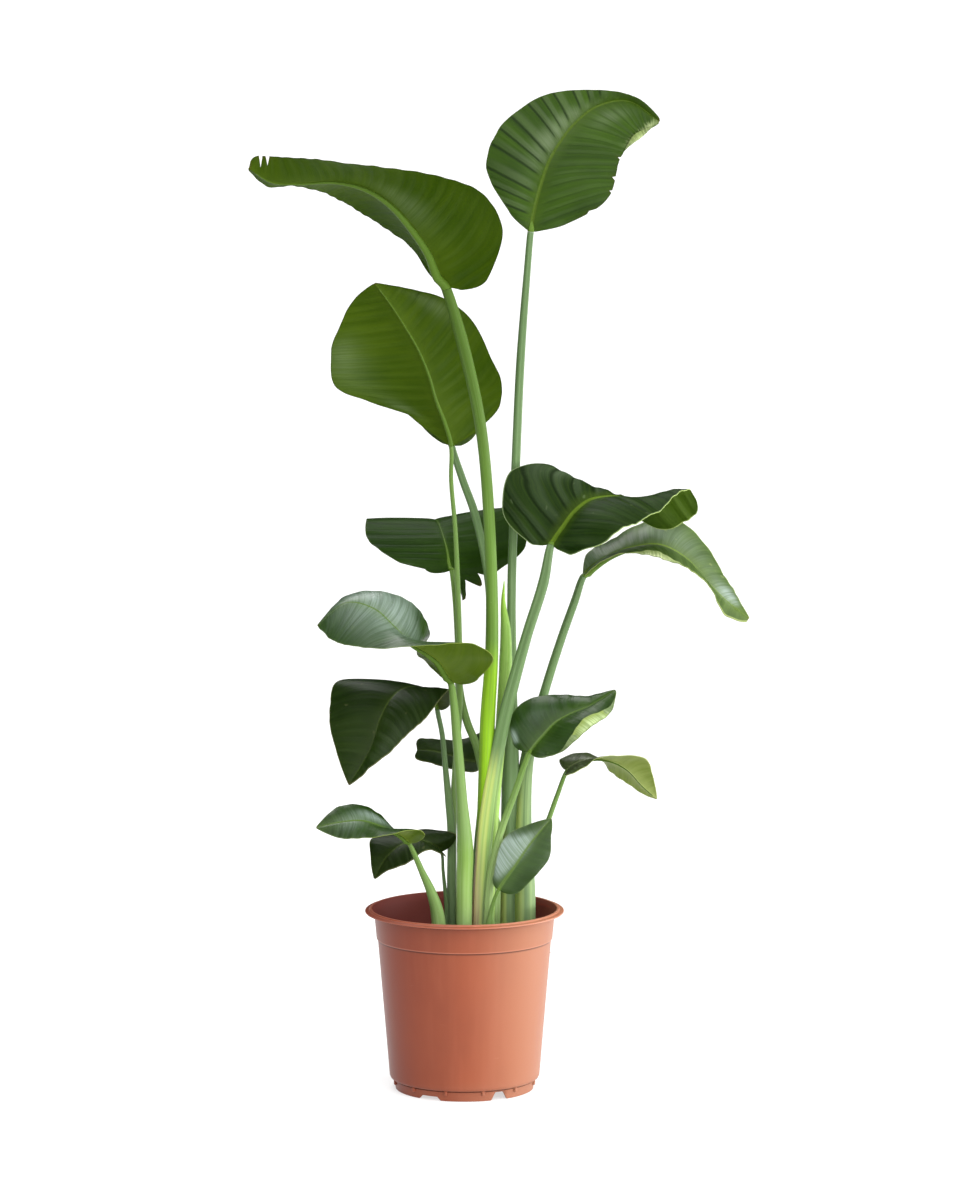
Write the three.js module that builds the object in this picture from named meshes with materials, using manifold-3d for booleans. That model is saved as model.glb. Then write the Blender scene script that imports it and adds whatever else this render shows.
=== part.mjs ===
import * as THREE from "three";
import { mergeVertices } from "three/addons/utils/BufferGeometryUtils.js";
import Module from "manifold-3d";

// A bird of paradise plant in a nursery pot. Millimetres, +Z up, front towards -Y.
// The origin is the middle of the pot's underside.

const wasm = await Module();
wasm.setup();

// The pot.
const POT_HEIGHT = 222;
const LIP_RADIUS = 121;
const LIP_DROP = 4.6;
const LIP_WIDTH = 9;
const COLLAR_TOP_RADIUS = 110;
const COLLAR_FOOT_RADIUS = 107;
const COLLAR_FOOT = 185;
const BODY_TOP_RADIUS = 105.5;
const BODY_FOOT_RADIUS = 91.5;
const BODY_FOOT = 17;
const RING_RADIUS = 86.5;
const RING_HEIGHT = 12.4;
const POT_WALL = 2;
const POT_SEGMENTS = 36;
const SOIL_SEGMENTS = 24;
const PAD_RADIUS = 20;
const DRAIN_COUNT = 6;
const DRAIN_RADIUS = 5;
const DRAIN_CIRCLE = 62;
const PIN_COUNT = 12;
const PIN_RADIUS = 1.6;
const NOTCH_PAIRS = 3;
const DEEP_NOTCH = { foot: 22, top: 11, height: 9.8 };
const SHALLOW_NOTCH = { foot: 31, top: 21, height: 4.6 };

// The soil, and the plant in it.
const SOIL_LEVEL = 168;
const SOIL_DOME = 3;
const STEM_FOOT = 125;
const GAP = 0.3;
const HOLE_DEPTH = 1;
const FOOT_GAP = 0.4;
const TOUCH = 0.001;
const STEM_SIDES = 8;
const STEM_STEPS = 2;
const STEM_GROOVE = 0.78;
const BLADE_THICKNESS = 1.1;
const LEAST_HALF_WIDTH = 1;
const WIDENS_UNTIL = 0.25;
const NARROWS_FROM = 0.55;
const TORN_EDGE = 0.9;
const RIB_TAPER = 1.1;
const FOOT_ROW = 0.008;
const RIB_ROWS = [0, 0.04, 0.1, 0.3, 0.6, 0.95];
const RIB_SINKS = 0.08;
const RIB_COVER = 0.4;

const POT_LOOK = { colour: 0xb8603f, roughness: 0.5 };
const SOIL_LOOK = { colour: 0x2b211a, roughness: 0.95 };
const STEM_LOOK = { colour: 0x6f9a4c, roughness: 0.45 };
const BLADE_LOOK = { colour: 0x2f5a26, roughness: 0.4 };
const SPEAR_LOOK = { colour: 0x86a85a, roughness: 0.45 };

// Every leaf grows from its foot in the soil to its tip. A stem point is [x, y, z, radius]. A blade
// row is [midrib, left margin, right margin], left and right as seen looking along the leaf from its
// upper side. wave is [height, count] of the ripples on the margins. feet and blunt say whether the
// left and the right half start and end round. Curls lift a stretch of margin and tears are gaps in
// it, at shares of the blade's length.
const LEAVES = [
  // The tallest leaf on the left, seen from below, with its tip twisted over.
  {
    name: "top_left",
    belly: 0.07,
    steps: 14,
    columns: [0.42, 0.74],
    wave: [0.8, 2],
    feet: [true, false],
    blunt: [true, true],
    tears: [
      { side: -1, at: 0.912, depth: 0.42, half: 0.009 },
      { side: -1, at: 0.945, depth: 0.62, half: 0.009 },
    ],
    stem: [
      [10, -16, STEM_FOOT, 9],
      [21, -16, 259, 9],
      [25, -19, 358, 9.2],
      [28, -25, 456, 9.2],
      [33, -32, 543, 8],
      [32, -40, 652, 7],
      [24, -48, 779, 6.8],
      [15, -53, 840, 7],
      [-3, -58, 917, 7.5],
      [-21, -62, 978, 6],
    ],
    blade: [
      [[-31, -66, 1001], [27, -92, 991], [-39, -35, 993]],
      [[-40, -70, 1022], [44.5, -105, 1050], [-59, 0, 1020]],
      [[-63, -78, 1055], [15, -122, 1097], [-84, 3, 1041]],
      [[-87, -86, 1081], [-50, -148, 1119], [-112, -11, 1059]],
      [[-116, -94, 1099], [-99, -158, 1126], [-139, -32, 1077]],
      [[-151, -102, 1107], [-140, -155, 1130], [-165, -53, 1092]],
      [[-192, -108, 1105], [-185, -141, 1134], [-198, -72, 1101]],
      [[-225, -112, 1106], [-224, -122, 1136], [-231, -90, 1101]],
    ],
    tip: [-252, -114, 1123],
  },
  // The highest leaf, its tip folded down to the right.
  {
    name: "top_right",
    belly: 0.08,
    steps: 14,
    columns: [0.42, 0.74],
    wave: [1.6, 4],
    feet: [false, false],
    blunt: [true, false],
    curls: [{ side: 1, from: 0.54, to: 1.02, height: 5, inward: 9 }],
    stem: [
      [55, 25, STEM_FOOT, 11],
      [54, 26, 239, 11],
      [55, 28, 313, 11],
      [56, 30, 399, 10.5],
      [57, 34, 484, 7],
      [57, 38, 582, 5.4],
      [58, 42, 643, 5.4],
      [63, 50, 778, 5.4],
      [68, 56, 886, 5.2],
      [76, 61, 993, 4.2],
      [80, 62, 1039, 4],
    ],
    blade: [
      [[84, 66, 1064], [54, 52, 1065], [125, 76, 1050]],
      [[93, 72, 1098], [28, 42, 1119], [170, 88, 1077]],
      [[102, 80, 1123], [41, 48, 1162], [181, 100, 1098]],
      [[116, 90, 1147], [68, 62, 1186], [186, 112, 1124]],
      [[134, 102, 1169], [101, 82, 1204], [197, 122, 1138]],
      [[161, 114, 1189], [150, 106, 1208], [209, 128, 1148]],
      [[199, 128, 1195], [204, 126, 1201], [222, 134, 1157]],
    ],
    tip: [238, 140, 1170],
  },
  // The broad leaf below it, seen from below.
  {
    name: "upper_left",
    belly: 0.07,
    steps: 12,
    columns: [0.5],
    wave: [1.2, 2],
    feet: [false, false],
    stem: [
      [-10, 28, STEM_FOOT, 4.5],
      [-14, 28, 251, 4.5],
      [-13, 27, 350, 4.2],
      [-9, 26, 418, 4],
      [-6, 25, 473, 4],
      [-7, 22, 572, 3.6],
      [-11, 18, 682, 2.8],
      [-16, 15, 743, 2.6],
      [-16, 12, 784, 2.6],
    ],
    blade: [
      [[-24, 6, 814], [25, 25, 811], [-67, 10, 823]],
      [[-34, -2, 841], [44, 25, 840], [-114, 0, 840]],
      [[-43, -12, 873], [42, 15, 867], [-154, -15, 859]],
      [[-55, -23, 903], [28, 2, 898], [-158, -28, 902]],
      [[-71, -36, 932], [6, -15, 940], [-146, -38, 936]],
      [[-87, -48, 958], [-35, -38, 969], [-131, -50, 964]],
    ],
    tip: [-106, -62, 985],
  },
  // The leaf whose blade stands behind the broad one.
  {
    name: "upper_back",
    belly: 0.07,
    steps: 10,
    columns: [0.5],
    wave: [3, 2],
    stem: [
      [24, 22, STEM_FOOT, 5.5],
      [26, 24, 276, 5.5],
      [27, 26, 362, 5.2],
      [30, 26, 473, 5],
      [32, 27, 547, 5],
      [29, 30, 620, 5],
      [13, 37, 698, 5],
      [-2, 40, 740, 4.6],
      [-15, 42, 780, 4],
    ],
    blade: [
      [[-21, 50, 806], [-60, 60, 818], [16, 62, 805]],
      [[-33, 62, 842], [-109, 80, 846], [29, 80, 840]],
      [[-48, 76, 877], [-137, 98, 879], [19, 98, 882]],
      [[-63, 92, 909], [-133, 112, 920], [-8, 112, 920]],
      [[-76, 108, 932], [-116, 120, 946], [-42, 120, 944]],
    ],
    tip: [-89, 122, 953],
  },
  // The dark leaf that arches backwards, with a torn lobe at its foot.
  {
    name: "middle_back",
    belly: 0.02,
    steps: 12,
    columns: [0.5],
    wave: [3, 2],
    tears: [
      { side: 1, at: 0.22, depth: 0.38, half: 0.04 },
      { side: 1, at: 0.29, depth: 0.26, half: 0.022 },
    ],
    stem: [
      [36, 12, STEM_FOOT, 7],
      [37, 12, 254, 7.5],
      [39, 10, 310, 7.5],
      [35, 9, 334, 6],
      [27, 12, 365, 5.2],
      [14, 20, 419, 4.8],
      [3, 30, 446, 4.8],
      [-6, 38, 484, 4.8],
      [-8, 36, 545, 4],
      [-11, 33, 595, 3.6],
      [-15, 30, 631, 3.4],
    ],
    blade: [
      [[-18, 38, 641], [-47, 34, 632], [-1, 50, 593]],
      [[-21, 52, 654], [-78, 45, 639], [38, 70, 625]],
      [[-26, 75, 669], [-115, 80, 663], [73, 95, 651]],
      [[-34, 120, 683], [-120, 130, 681], [63, 140, 699]],
      [[-42, 175, 673], [-108, 190, 667], [31, 190, 669]],
    ],
    tip: [-50, 235, 633],
  },
  // The saddle-shaped leaf on the right.
  {
    name: "middle_right",
    belly: 0.07,
    steps: 16,
    columns: [0.42, 0.74],
    wave: [2.5, 5],
    blunt: [true, false],
    stem: [
      [16, -24, STEM_FOOT, 10],
      [21, -26, 261, 10],
      [27, -27, 334, 9.5],
      [36, -27, 396, 8.5],
      [49, -26, 462, 8.2],
      [75, -23, 558, 6.4],
      [95, -19, 622, 6.4],
      [104, -15, 667, 4.6],
    ],
    blade: [
      [[109, -10, 675], [77, -18, 671], [129, -30, 659]],
      [[120, -2, 689], [47, -5, 706], [153, -42, 668]],
      [[133, 8, 705], [56, 22, 752], [180, -45, 684]],
      [[152, 20, 718], [98, 52, 757], [208, -32, 699]],
      [[179, 30, 722], [147, 88, 728], [227, -18, 705]],
      [[213, 38, 720], [230, 88, 679], [244, 0, 716]],
      [[247, 41, 727], [275, 68, 690], [263, 22, 730]],
    ],
    tip: [274, 40, 729],
  },
  // The leaf that droops furthest to the right.
  {
    name: "drooping_right",
    belly: 0.06,
    steps: 12,
    columns: [0.5],
    wave: [1.5, 3],
    feet: [false, false],
    blunt: [false, true],
    curls: [{ side: 1, from: 0.3, to: 0.62, height: 5, inward: 8 }],
    stem: [
      [72, 24, STEM_FOOT, 15],
      [72, 24, 239, 14.5],
      [70, 26, 313, 12],
      [76, 30, 399, 8.5],
      [97, 34, 481, 5.6],
      [118, 37, 548, 5.2],
      [134, 39, 593, 5],
      [144, 40, 622, 4.2],
    ],
    blade: [
      [[153, 46, 632], [148, 60, 645], [164, 28, 642]],
      [[175, 58, 646], [172, 95, 657], [185, 28, 651]],
      [[204, 70, 655], [209, 122, 676], [213, 30, 651]],
      [[239, 78, 657], [261, 125, 681], [243, 34, 646]],
      [[270, 78, 641], [299, 112, 649], [273, 40, 631]],
      [[297, 70, 612], [323, 92, 609], [302, 44, 604]],
      [[321, 62, 589], [337, 74, 586], [318, 48, 576]],
    ],
    tip: [347, 55, 570],
  },
  // The glossy leaf on the left, twisted near its foot.
  {
    name: "middle_left",
    belly: 0.06,
    steps: 14,
    columns: [0.5],
    wave: [2, 2],
    stem: [
      [0, -38, STEM_FOOT, 9.5],
      [0, -38, 251, 9.8],
      [1, -40, 300, 10.2],
      [-3, -42, 361, 6.8],
      [-9, -45, 440, 5.8],
      [-13, -47, 484, 4.8],
      [-16, -48, 504, 4],
    ],
    blade: [
      [[-22, -53, 518], [17, -85, 516], [-29, -15, 508]],
      [[-33, -61, 534], [33, -90, 540], [-46, -5, 527]],
      [[-47, -67, 545], [6, -108, 560], [-57, 0, 537]],
      [[-64, -70, 556], [-38, -125, 562], [-43, -5, 555]],
      [[-84, -68, 576], [-92, -118, 556], [-58, -15, 592]],
      [[-107, -62, 596], [-132, -100, 556], [-96, -25, 613]],
      [[-140, -56, 603], [-163, -75, 564], [-141, -30, 608]],
    ],
    tip: [-176, -60, 576],
  },
  // The dark leaf that hangs down on the left.
  {
    name: "hanging_left",
    belly: 0.06,
    steps: 12,
    columns: [0.5],
    wave: [2, 2],
    stem: [
      [-17, 14, STEM_FOOT, 5.5],
      [-16, 14, 253, 5.5],
      [-16, 15, 315, 5.2],
      [-19, 16, 349, 4.6],
      [-23, 17, 390, 3.6],
      [-27, 17, 432, 3.2],
      [-33, 15, 464, 3],
    ],
    blade: [
      [[-33, 6, 480], [-18, -8, 474], [-44, 26, 489]],
      [[-49, -8, 493], [-20, -30, 492], [-72, 35, 488]],
      [[-71, -25, 496], [-46, -74, 468], [-110, 20, 498]],
      [[-88, -42, 485], [-72, -86, 446], [-152, 5, 498]],
      [[-101, -57, 462], [-93, -91, 423], [-162, -15, 475]],
      [[-113, -68, 427], [-115, -90, 407], [-158, -45, 437]],
    ],
    tip: [-138, -80, 386],
  },
  // The upturned leaf low on the right.
  {
    name: "lower_right",
    belly: 0.07,
    steps: 12,
    columns: [0.5],
    wave: [2, 2],
    curls: [{ side: 1, from: 0.2, to: 1, height: 8, inward: 11 }],
    stem: [
      [26, -38, STEM_FOOT, 5],
      [30, -38, 251, 5],
      [36, -38, 291, 4.6],
      [46, -39, 329, 4.4],
      [62, -40, 373, 4],
      [71, -40, 400, 3.6],
      [78, -40, 418, 3.2],
    ],
    blade: [
      [[85, -38, 428], [59, -30, 430], [98, -50, 417]],
      [[95, -34, 439], [56, -14, 454], [119, -55, 425]],
      [[109, -28, 453], [71, -5, 475], [145, -55, 446]],
      [[127, -22, 463], [104, 8, 481], [162, -48, 460]],
      [[152, -16, 473], [146, 5, 480], [178, -32, 472]],
    ],
    tip: [182, -10, 491],
  },
  // A small dark leaf behind the stems.
  {
    name: "inner_small",
    belly: 0.06,
    steps: 8,
    columns: [0.5],
    wave: [1, 2],
    blunt: [true, true],
    stem: [
      [9, 14, STEM_FOOT, 3.5],
      [12, 18, 253, 3.5],
      [15, 34, 299, 3.2],
      [19, 54, 346, 2.8],
      [18, 70, 388, 2.4],
    ],
    blade: [
      [[2, 67, 393], [5, 50, 381], [19, 90, 423]],
      [[-18, 63, 400], [-26, 42, 390], [-11, 90, 413]],
      [[-39, 58, 406], [-49, 45, 395], [-46, 75, 419]],
    ],
    tip: [-58, 55, 408],
  },
  // A narrow twisted leaf low on the right.
  {
    name: "small_right",
    belly: 0.05,
    steps: 10,
    columns: [0.5],
    wave: [1, 2],
    stem: [
      [77, 43, STEM_FOOT, 4],
      [79, 42, 246, 4],
      [90, 30, 292, 3.8],
      [103, 16, 330, 3.2],
      [112, 14, 356, 3],
      [124, 10, 388, 2.6],
    ],
    blade: [
      [[130, 9, 395], [116, 30, 399], [124, -12, 387]],
      [[146, 6, 403], [146, 32, 407], [147, -18, 400]],
      [[164, 3, 405], [167, 30, 399], [163, -25, 410]],
      [[182, -1, 401], [177, 25, 387], [190, -28, 413]],
      [[199, -5, 391], [193, 15, 376], [218, -28, 410]],
      [[215, -9, 374], [213, 3, 364], [227, -20, 389]],
    ],
    tip: [233, -12, 358],
  },
  // The lowest leaf, leaning on the right-hand shoot.
  {
    name: "front_low",
    belly: 0.08,
    steps: 10,
    columns: [0.5],
    wave: [1, 2],
    stem: [
      [31, -51, STEM_FOOT, 6.4],
      [31.5, -51, 205, 6.8],
      [32, -53, 224, 3.2],
      [35, -55.5, 239, 2.4],
      [41, -58, 254, 2],
    ],
    blade: [
      [[48, -56, 265], [36, -57, 273], [67, -56, 253]],
      [[60, -52, 281], [43, -51, 304], [88, -50, 274]],
      [[74, -45, 301], [53, -44, 319], [102, -42, 292]],
      [[89, -36, 319], [74, -36, 328], [104, -34, 317]],
    ],
    tip: [105, -26, 336],
  },
  // The low glossy leaf on the left.
  {
    name: "low_left",
    belly: 0.06,
    steps: 10,
    columns: [0.5],
    wave: [1, 2],
    stem: [
      [-30, -38, STEM_FOOT, 9],
      [-32, -42, 219, 8.4],
      [-40, -48, 250, 6],
      [-51, -54, 276, 4],
      [-66, -62, 311, 2.6],
    ],
    blade: [
      [[-72, -66, 319], [-48, -85, 326], [-80, -40, 318]],
      [[-84, -73, 328], [-62, -100, 335], [-85, -40, 325]],
      [[-101, -79, 336], [-100, -112, 330], [-100, -48, 342]],
      [[-122, -83, 343], [-127, -110, 327], [-123, -58, 358]],
      [[-149, -87, 342], [-150, -103, 326], [-154, -70, 356]],
    ],
    tip: [-177, -90, 336],
  },
  // The small dark leaf behind it.
  {
    name: "low_back",
    belly: 0.06,
    steps: 10,
    columns: [0.5],
    wave: [1, 2],
    stem: [
      [-24, 4, STEM_FOOT, 3.2],
      [-22, 3, 225, 2.8],
      [-24, 2, 247, 2.4],
      [-26, 0, 268, 2],
      [-28, -2, 290, 1.8],
    ],
    blade: [
      [[-37, -8, 300], [-25, -18, 290], [-11, 0, 312]],
      [[-54, -14, 308], [-45, -34, 299], [-40, 12, 316]],
      [[-73, -20, 305], [-66, -44, 288], [-73, 12, 313]],
      [[-91, -28, 293], [-87, -46, 278], [-112, -2, 307]],
      [[-102, -32, 278], [-100, -40, 271], [-113, -22, 288]],
    ],
    tip: [-109, -35, 264],
  },
];

// The youngest leaf, still rolled up: [x, y, z, radius].
const SPEAR = [
  [30, -4, STEM_FOOT, 6],
  [32, -3, 281, 6],
  [38, -2, 367, 6.5],
  [45, -2, 453, 7.5],
  [50, -2, 526, 8.6],
  [50, -2, 563, 7],
  [47, -2, 597, 3],
  [48, -2, 622, 0.6],
];

function vector([x, y, z]) {
  return new THREE.Vector3(x, y, z);
}

function blend(a, b, share) {
  return a + (b - a) * share;
}

function smooth(share) {
  const s = THREE.MathUtils.clamp(share, 0, 1);
  return s * s * (3 - 2 * s);
}

// A smooth curve through points, read by a count of points instead of a share of its length.
function curveThrough(points, kind) {
  const curve = new THREE.CatmullRomCurve3(points, false, kind, 0.5);
  const last = points.length - 1;
  return (at) => curve.getPoint(THREE.MathUtils.clamp(at / last, 0, 1));
}

function directionOf(curve, at, last) {
  const step = 0.01;
  const before = curve(Math.max(at - step, 0));
  const after = curve(Math.min(at + step, last));
  return after.sub(before).normalize();
}

function solidFrom(points, triangles) {
  const geometry = new THREE.BufferGeometry();
  const flat = points.flatMap((p) => [p.x, p.y, p.z]);
  geometry.setAttribute("position", new THREE.Float32BufferAttribute(flat, 3));
  geometry.setIndex(triangles.flat());
  return solidOf(geometry);
}

function solidOf(geometry) {
  const bare = geometry.clone();
  bare.deleteAttribute("normal");
  bare.deleteAttribute("uv");
  const merged = mergeVertices(bare, 1e-3);
  return new wasm.Manifold(
    new wasm.Mesh({
      numProp: 3,
      vertProperties: new Float32Array(merged.attributes.position.array),
      triVerts: new Uint32Array(merged.index.array),
    }),
  );
}

function largestBody(solid) {
  const bodies = solid.decompose();
  bodies.sort((a, b) => b.volume() - a.volume());
  return bodies[0];
}

function meshOf(name, solid, look) {
  const mesh = solid.getMesh();
  const geometry = new THREE.BufferGeometry();
  const positions = new THREE.BufferAttribute(mesh.vertProperties, 3);
  geometry.setAttribute("position", positions);
  geometry.setIndex(new THREE.BufferAttribute(mesh.triVerts, 1));
  geometry.computeVertexNormals();
  const material = new THREE.MeshStandardMaterial({
    color: look.colour,
    roughness: look.roughness,
    metalness: 0,
    flatShading: true,
  });
  const made = new THREE.Mesh(geometry, material);
  made.name = name;
  return made;
}

// How wide half a blade is along its length, against the width its rows give. Its foot and its tip
// are wedges or round.
function widthProfile(leaf, side) {
  const half = side < 0 ? 0 : 1;
  const roundFoot = leaf.feet?.[half] ?? true;
  const roundTip = leaf.blunt?.[half] ?? false;
  return (share) => {
    const foot = 1 - Math.min(1, share / WIDENS_UNTIL);
    const tip = Math.max(0, (share - NARROWS_FROM) / (1 - NARROWS_FROM));
    const widens = roundFoot ? Math.sqrt(1 - foot * foot) : 1 - foot * foot;
    return widens * (roundTip ? Math.sqrt(1 - tip ** 4) : 1 - tip * tip);
  };
}

// The line down the middle of a leaf: up its stem, then along its midrib to the tip.
function axisOf(leaf) {
  const points = [
    ...leaf.stem.map(vector),
    ...leaf.blade.map((row) => vector(row[0])),
    vector(leaf.tip),
  ];
  const curve = curveThrough(points, "centripetal");
  const last = points.length - 1;
  const foot = leaf.stem.length - 1;
  return {
    foot,
    at: (share) => curve(foot + share * (last - foot)),
    along: (share) => directionOf(curve, foot + share * (last - foot), last),
    stemAt: curve,
    stemAlong: (at) => directionOf(curve, at, last),
  };
}

// The vector from the midrib to one margin, at a share of the blade's length.
function halfOf(leaf, axis, side) {
  const rows = leaf.blade.length;
  const column = side < 0 ? 1 : 2;
  const widthAt = widthProfile(leaf, side);
  const reaches = leaf.blade.map((row, i) => {
    const width = widthAt((i + 1) / (rows + 1));
    return vector(row[column]).sub(vector(row[0])).divideScalar(width);
  });
  const reach = curveThrough(reaches, "catmullrom");
  return (share) => {
    const at = THREE.MathUtils.clamp(share * (rows + 1) - 1, 0, rows - 1);
    const out = reach(at);
    const along = axis.along(share);
    const straight = out.clone().addScaledVector(along, -out.dot(along)).normalize();
    const widened = widthAt(share);
    out.multiplyScalar(widened).addScaledVector(straight, LEAST_HALF_WIDTH);
    const normal = new THREE.Vector3().crossVectors(out, along);
    normal.multiplyScalar(side).normalize();
    return { out, normal, widened };
  };
}

function bump(share, from, to) {
  const middle = (from + to) / 2;
  const half = (to - from) / 2;
  return smooth(1 - Math.abs(share - middle) / half);
}

// How far in from its margin half a blade is torn at a share of its length.
function tornAt(leaf, side, share) {
  const tears = (leaf.tears ?? []).filter((tear) => tear.side === side);
  const depths = tears.map((tear) => tear.depth * (1 - Math.abs(share - tear.at) / tear.half));
  return Math.max(0, ...depths);
}

// One row across a blade, from the left margin to the right: points on its upper face, and what
// leads from each of them to the lower face.
function bladeRow(leaf, axis, halves, share) {
  const rib = axis.at(share);
  const row = [];
  const middle = new THREE.Vector3();
  for (const side of [-1, 1]) {
    const { out, normal, widened } = halves[side](share);
    middle.add(normal);
    const width = out.length();
    const torn = tornAt(leaf, side, share);
    const points = [...leaf.columns, 1].map((column) => {
      const reach = Math.min(column, (1 - torn) * blend(TORN_EDGE, 1, column));
      const lift = width * leaf.belly * 4 * reach * (1 - reach);
      const ripple = Math.sin(2 * Math.PI * (leaf.wave[1] * share + 0.25 * side));
      const wave = leaf.wave[0] * ripple * reach * reach * widened;
      const point = rib.clone().addScaledVector(out, reach);
      point.addScaledVector(normal, lift + wave);
      return { point, back: normal.clone().multiplyScalar(-BLADE_THICKNESS) };
    });
    for (const curl of (leaf.curls ?? []).filter((one) => one.side === side)) {
      const curled = bump(share, curl.from, curl.to);
      const outward = out.clone().normalize();
      const fold = points[points.length - 1];
      const edge = fold.point.clone().addScaledVector(outward, 1 - curled * (1 + curl.inward));
      edge.addScaledVector(normal, curled * curl.height);
      fold.back.addScaledVector(outward, 0.5 * curled * BLADE_THICKNESS);
      const back = normal.clone().multiplyScalar(curled - 1).addScaledVector(outward, curled);
      points.push({ point: edge, back: back.setLength(BLADE_THICKNESS) });
    }
    row.push(points);
  }
  const back = middle.setLength(BLADE_THICKNESS).negate();
  return [...row[0].reverse(), { point: rib, back }, ...row[1]];
}

// The thick midrib under a blade, as wide as the stem where it starts.
function ribSolid(leaf, axis, halves) {
  const footRadius = leaf.stem[leaf.stem.length - 1][3];
  const rings = RIB_ROWS.map((share) => {
    const radius = Math.max(footRadius * (1 - share) ** RIB_TAPER, LEAST_HALF_WIDTH);
    const up = halves[1](share).normal.clone().add(halves[-1](share).normal).normalize();
    const sunk = (radius + RIB_COVER) * smooth(share / RIB_SINKS);
    const centre = axis.at(share).addScaledVector(up, -sunk);
    if (share === 0) centre.addScaledVector(axis.along(0), FOOT_GAP);
    return { centre, radius, ahead: axis.along(share), up, groove: share === 0 };
  });
  return solidFrom(...ringed(rings));
}

// The shares of the length that a blade has rows at.
function bladeShares(leaf) {
  const shares = [FOOT_ROW];
  for (let i = 1; i <= leaf.steps; i += 1) shares.push(i / leaf.steps);
  for (const { at, half } of leaf.tears ?? []) shares.push(at - half, at, at + half);
  return shares.sort((a, b) => a - b);
}

// Two faces with the same triangles, joined along the margins and across both ends.
function bladeSolid(leaf) {
  const axis = axisOf(leaf);
  const halves = { [-1]: halfOf(leaf, axis, -1), 1: halfOf(leaf, axis, 1) };
  const rows = bladeShares(leaf).map((share) => bladeRow(leaf, axis, halves, share));
  const across = rows[0].length;
  const last = rows.length - 1;
  const upper = rows.flat().map(({ point }) => point);
  const lower = rows.flat().map(({ point, back }) => point.clone().add(back));
  const count = upper.length;
  const triangles = [];
  const quad = (a, b, c, d) => triangles.push([a, b, c], [a, c, d]);
  for (let i = 0; i < last; i += 1) {
    for (let j = 0; j < across - 1; j += 1) {
      const a = i * across + j;
      const b = a + 1;
      const c = b + across;
      const d = a + across;
      quad(a, b, c, d);
      triangles.push([a + count, c + count, b + count], [a + count, d + count, c + count]);
    }
  }
  for (let i = 0; i < last; i += 1) {
    const left = i * across;
    const right = left + across - 1;
    quad(left + count, left, left + across, left + across + count);
    quad(right, right + count, right + across + count, right + across);
  }
  const end = last * across;
  for (let j = 0; j < across - 1; j += 1) {
    quad(j + count, j + 1 + count, j + 1, j);
    quad(end + j, end + j + 1, end + j + 1 + count, end + j + count);
  }
  return solidFrom([...upper, ...lower], triangles).add(ribSolid(leaf, axis, halves));
}

// Points and triangles of a closed rod through rings of STEM_SIDES points. A grooved ring is pulled
// in on the side that up looks to.
function ringed(rings) {
  const points = [];
  for (const { centre, radius, ahead, up, groove } of rings) {
    const side = new THREE.Vector3().crossVectors(up, ahead);
    for (let k = 0; k < STEM_SIDES; k += 1) {
      const angle = (2 * Math.PI * k) / STEM_SIDES;
      const reach = k === 0 && groove ? radius * STEM_GROOVE : radius;
      const point = centre.clone().addScaledVector(up, reach * Math.cos(angle));
      points.push(point.addScaledVector(side, reach * Math.sin(angle)));
    }
  }
  const triangles = [];
  for (let i = 0; i < rings.length - 1; i += 1) {
    for (let k = 0; k < STEM_SIDES; k += 1) {
      const a = i * STEM_SIDES + k;
      const b = i * STEM_SIDES + ((k + 1) % STEM_SIDES);
      triangles.push([a, a + STEM_SIDES, b + STEM_SIDES], [a, b + STEM_SIDES, b]);
    }
  }
  const top = (rings.length - 1) * STEM_SIDES;
  for (let k = 1; k < STEM_SIDES - 1; k += 1) {
    triangles.push([0, k, k + 1], [top, top + k + 1, top + k]);
  }
  return [points, triangles];
}

// A stalk with a shallow groove down the side its blade's upper face looks to. grow makes it
// larger all round, for the hole it stands in.
function stalkSolid(curve, along, radii, face, grow) {
  const last = radii.length - 1;
  const steps = last * STEM_STEPS;
  const rings = [];
  for (let i = 0; i <= steps; i += 1) {
    const at = i / STEM_STEPS;
    const whole = Math.min(Math.floor(at), last - 1);
    const radius = blend(radii[whole], radii[whole + 1], at - whole) + grow;
    const ahead = along(at);
    const up = face.clone().addScaledVector(ahead, -face.dot(ahead)).normalize();
    const centre = curve(at);
    if (grow > 0 && i === 0) centre.addScaledVector(ahead, -HOLE_DEPTH);
    if (grow > 0 && i === steps) centre.addScaledVector(ahead, grow);
    rings.push({ centre, radius, ahead, up, groove: grow === 0 });
  }
  return solidFrom(...ringed(rings));
}

function stemSolid(leaf, grow) {
  const axis = axisOf(leaf);
  const right = halfOf(leaf, axis, 1)(0);
  const left = halfOf(leaf, axis, -1)(0);
  const face = right.normal.clone().add(left.normal).normalize();
  const radii = leaf.stem.map((point) => point[3]);
  return stalkSolid(axis.stemAt, axis.stemAlong, radii, face, grow);
}

function spearSolid(grow) {
  const points = SPEAR.map(vector);
  const curve = curveThrough(points, "centripetal");
  const along = (at) => directionOf(curve, at, points.length - 1);
  const radii = SPEAR.map((point) => point[3]);
  return stalkSolid(curve, along, radii, new THREE.Vector3(0, -1, 0), grow);
}

// A six-sided block that is narrower at the top, cut through the foot ring.
function notchCutter(notch, angle) {
  const half = notch.foot / 2 + (notch.foot - notch.top) / (2 * notch.height);
  const outline = new THREE.Shape([
    new THREE.Vector2(-half, -1),
    new THREE.Vector2(half, -1),
    new THREE.Vector2(notch.top / 2, notch.height),
    new THREE.Vector2(-notch.top / 2, notch.height),
  ]);
  const reach = 20;
  const cutter = new THREE.ExtrudeGeometry(outline, { depth: reach, bevelEnabled: false });
  cutter.rotateX(Math.PI / 2);
  cutter.translate(0, -RING_RADIUS + reach / 2, 0);
  cutter.rotateZ(angle);
  return solidOf(cutter);
}

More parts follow.
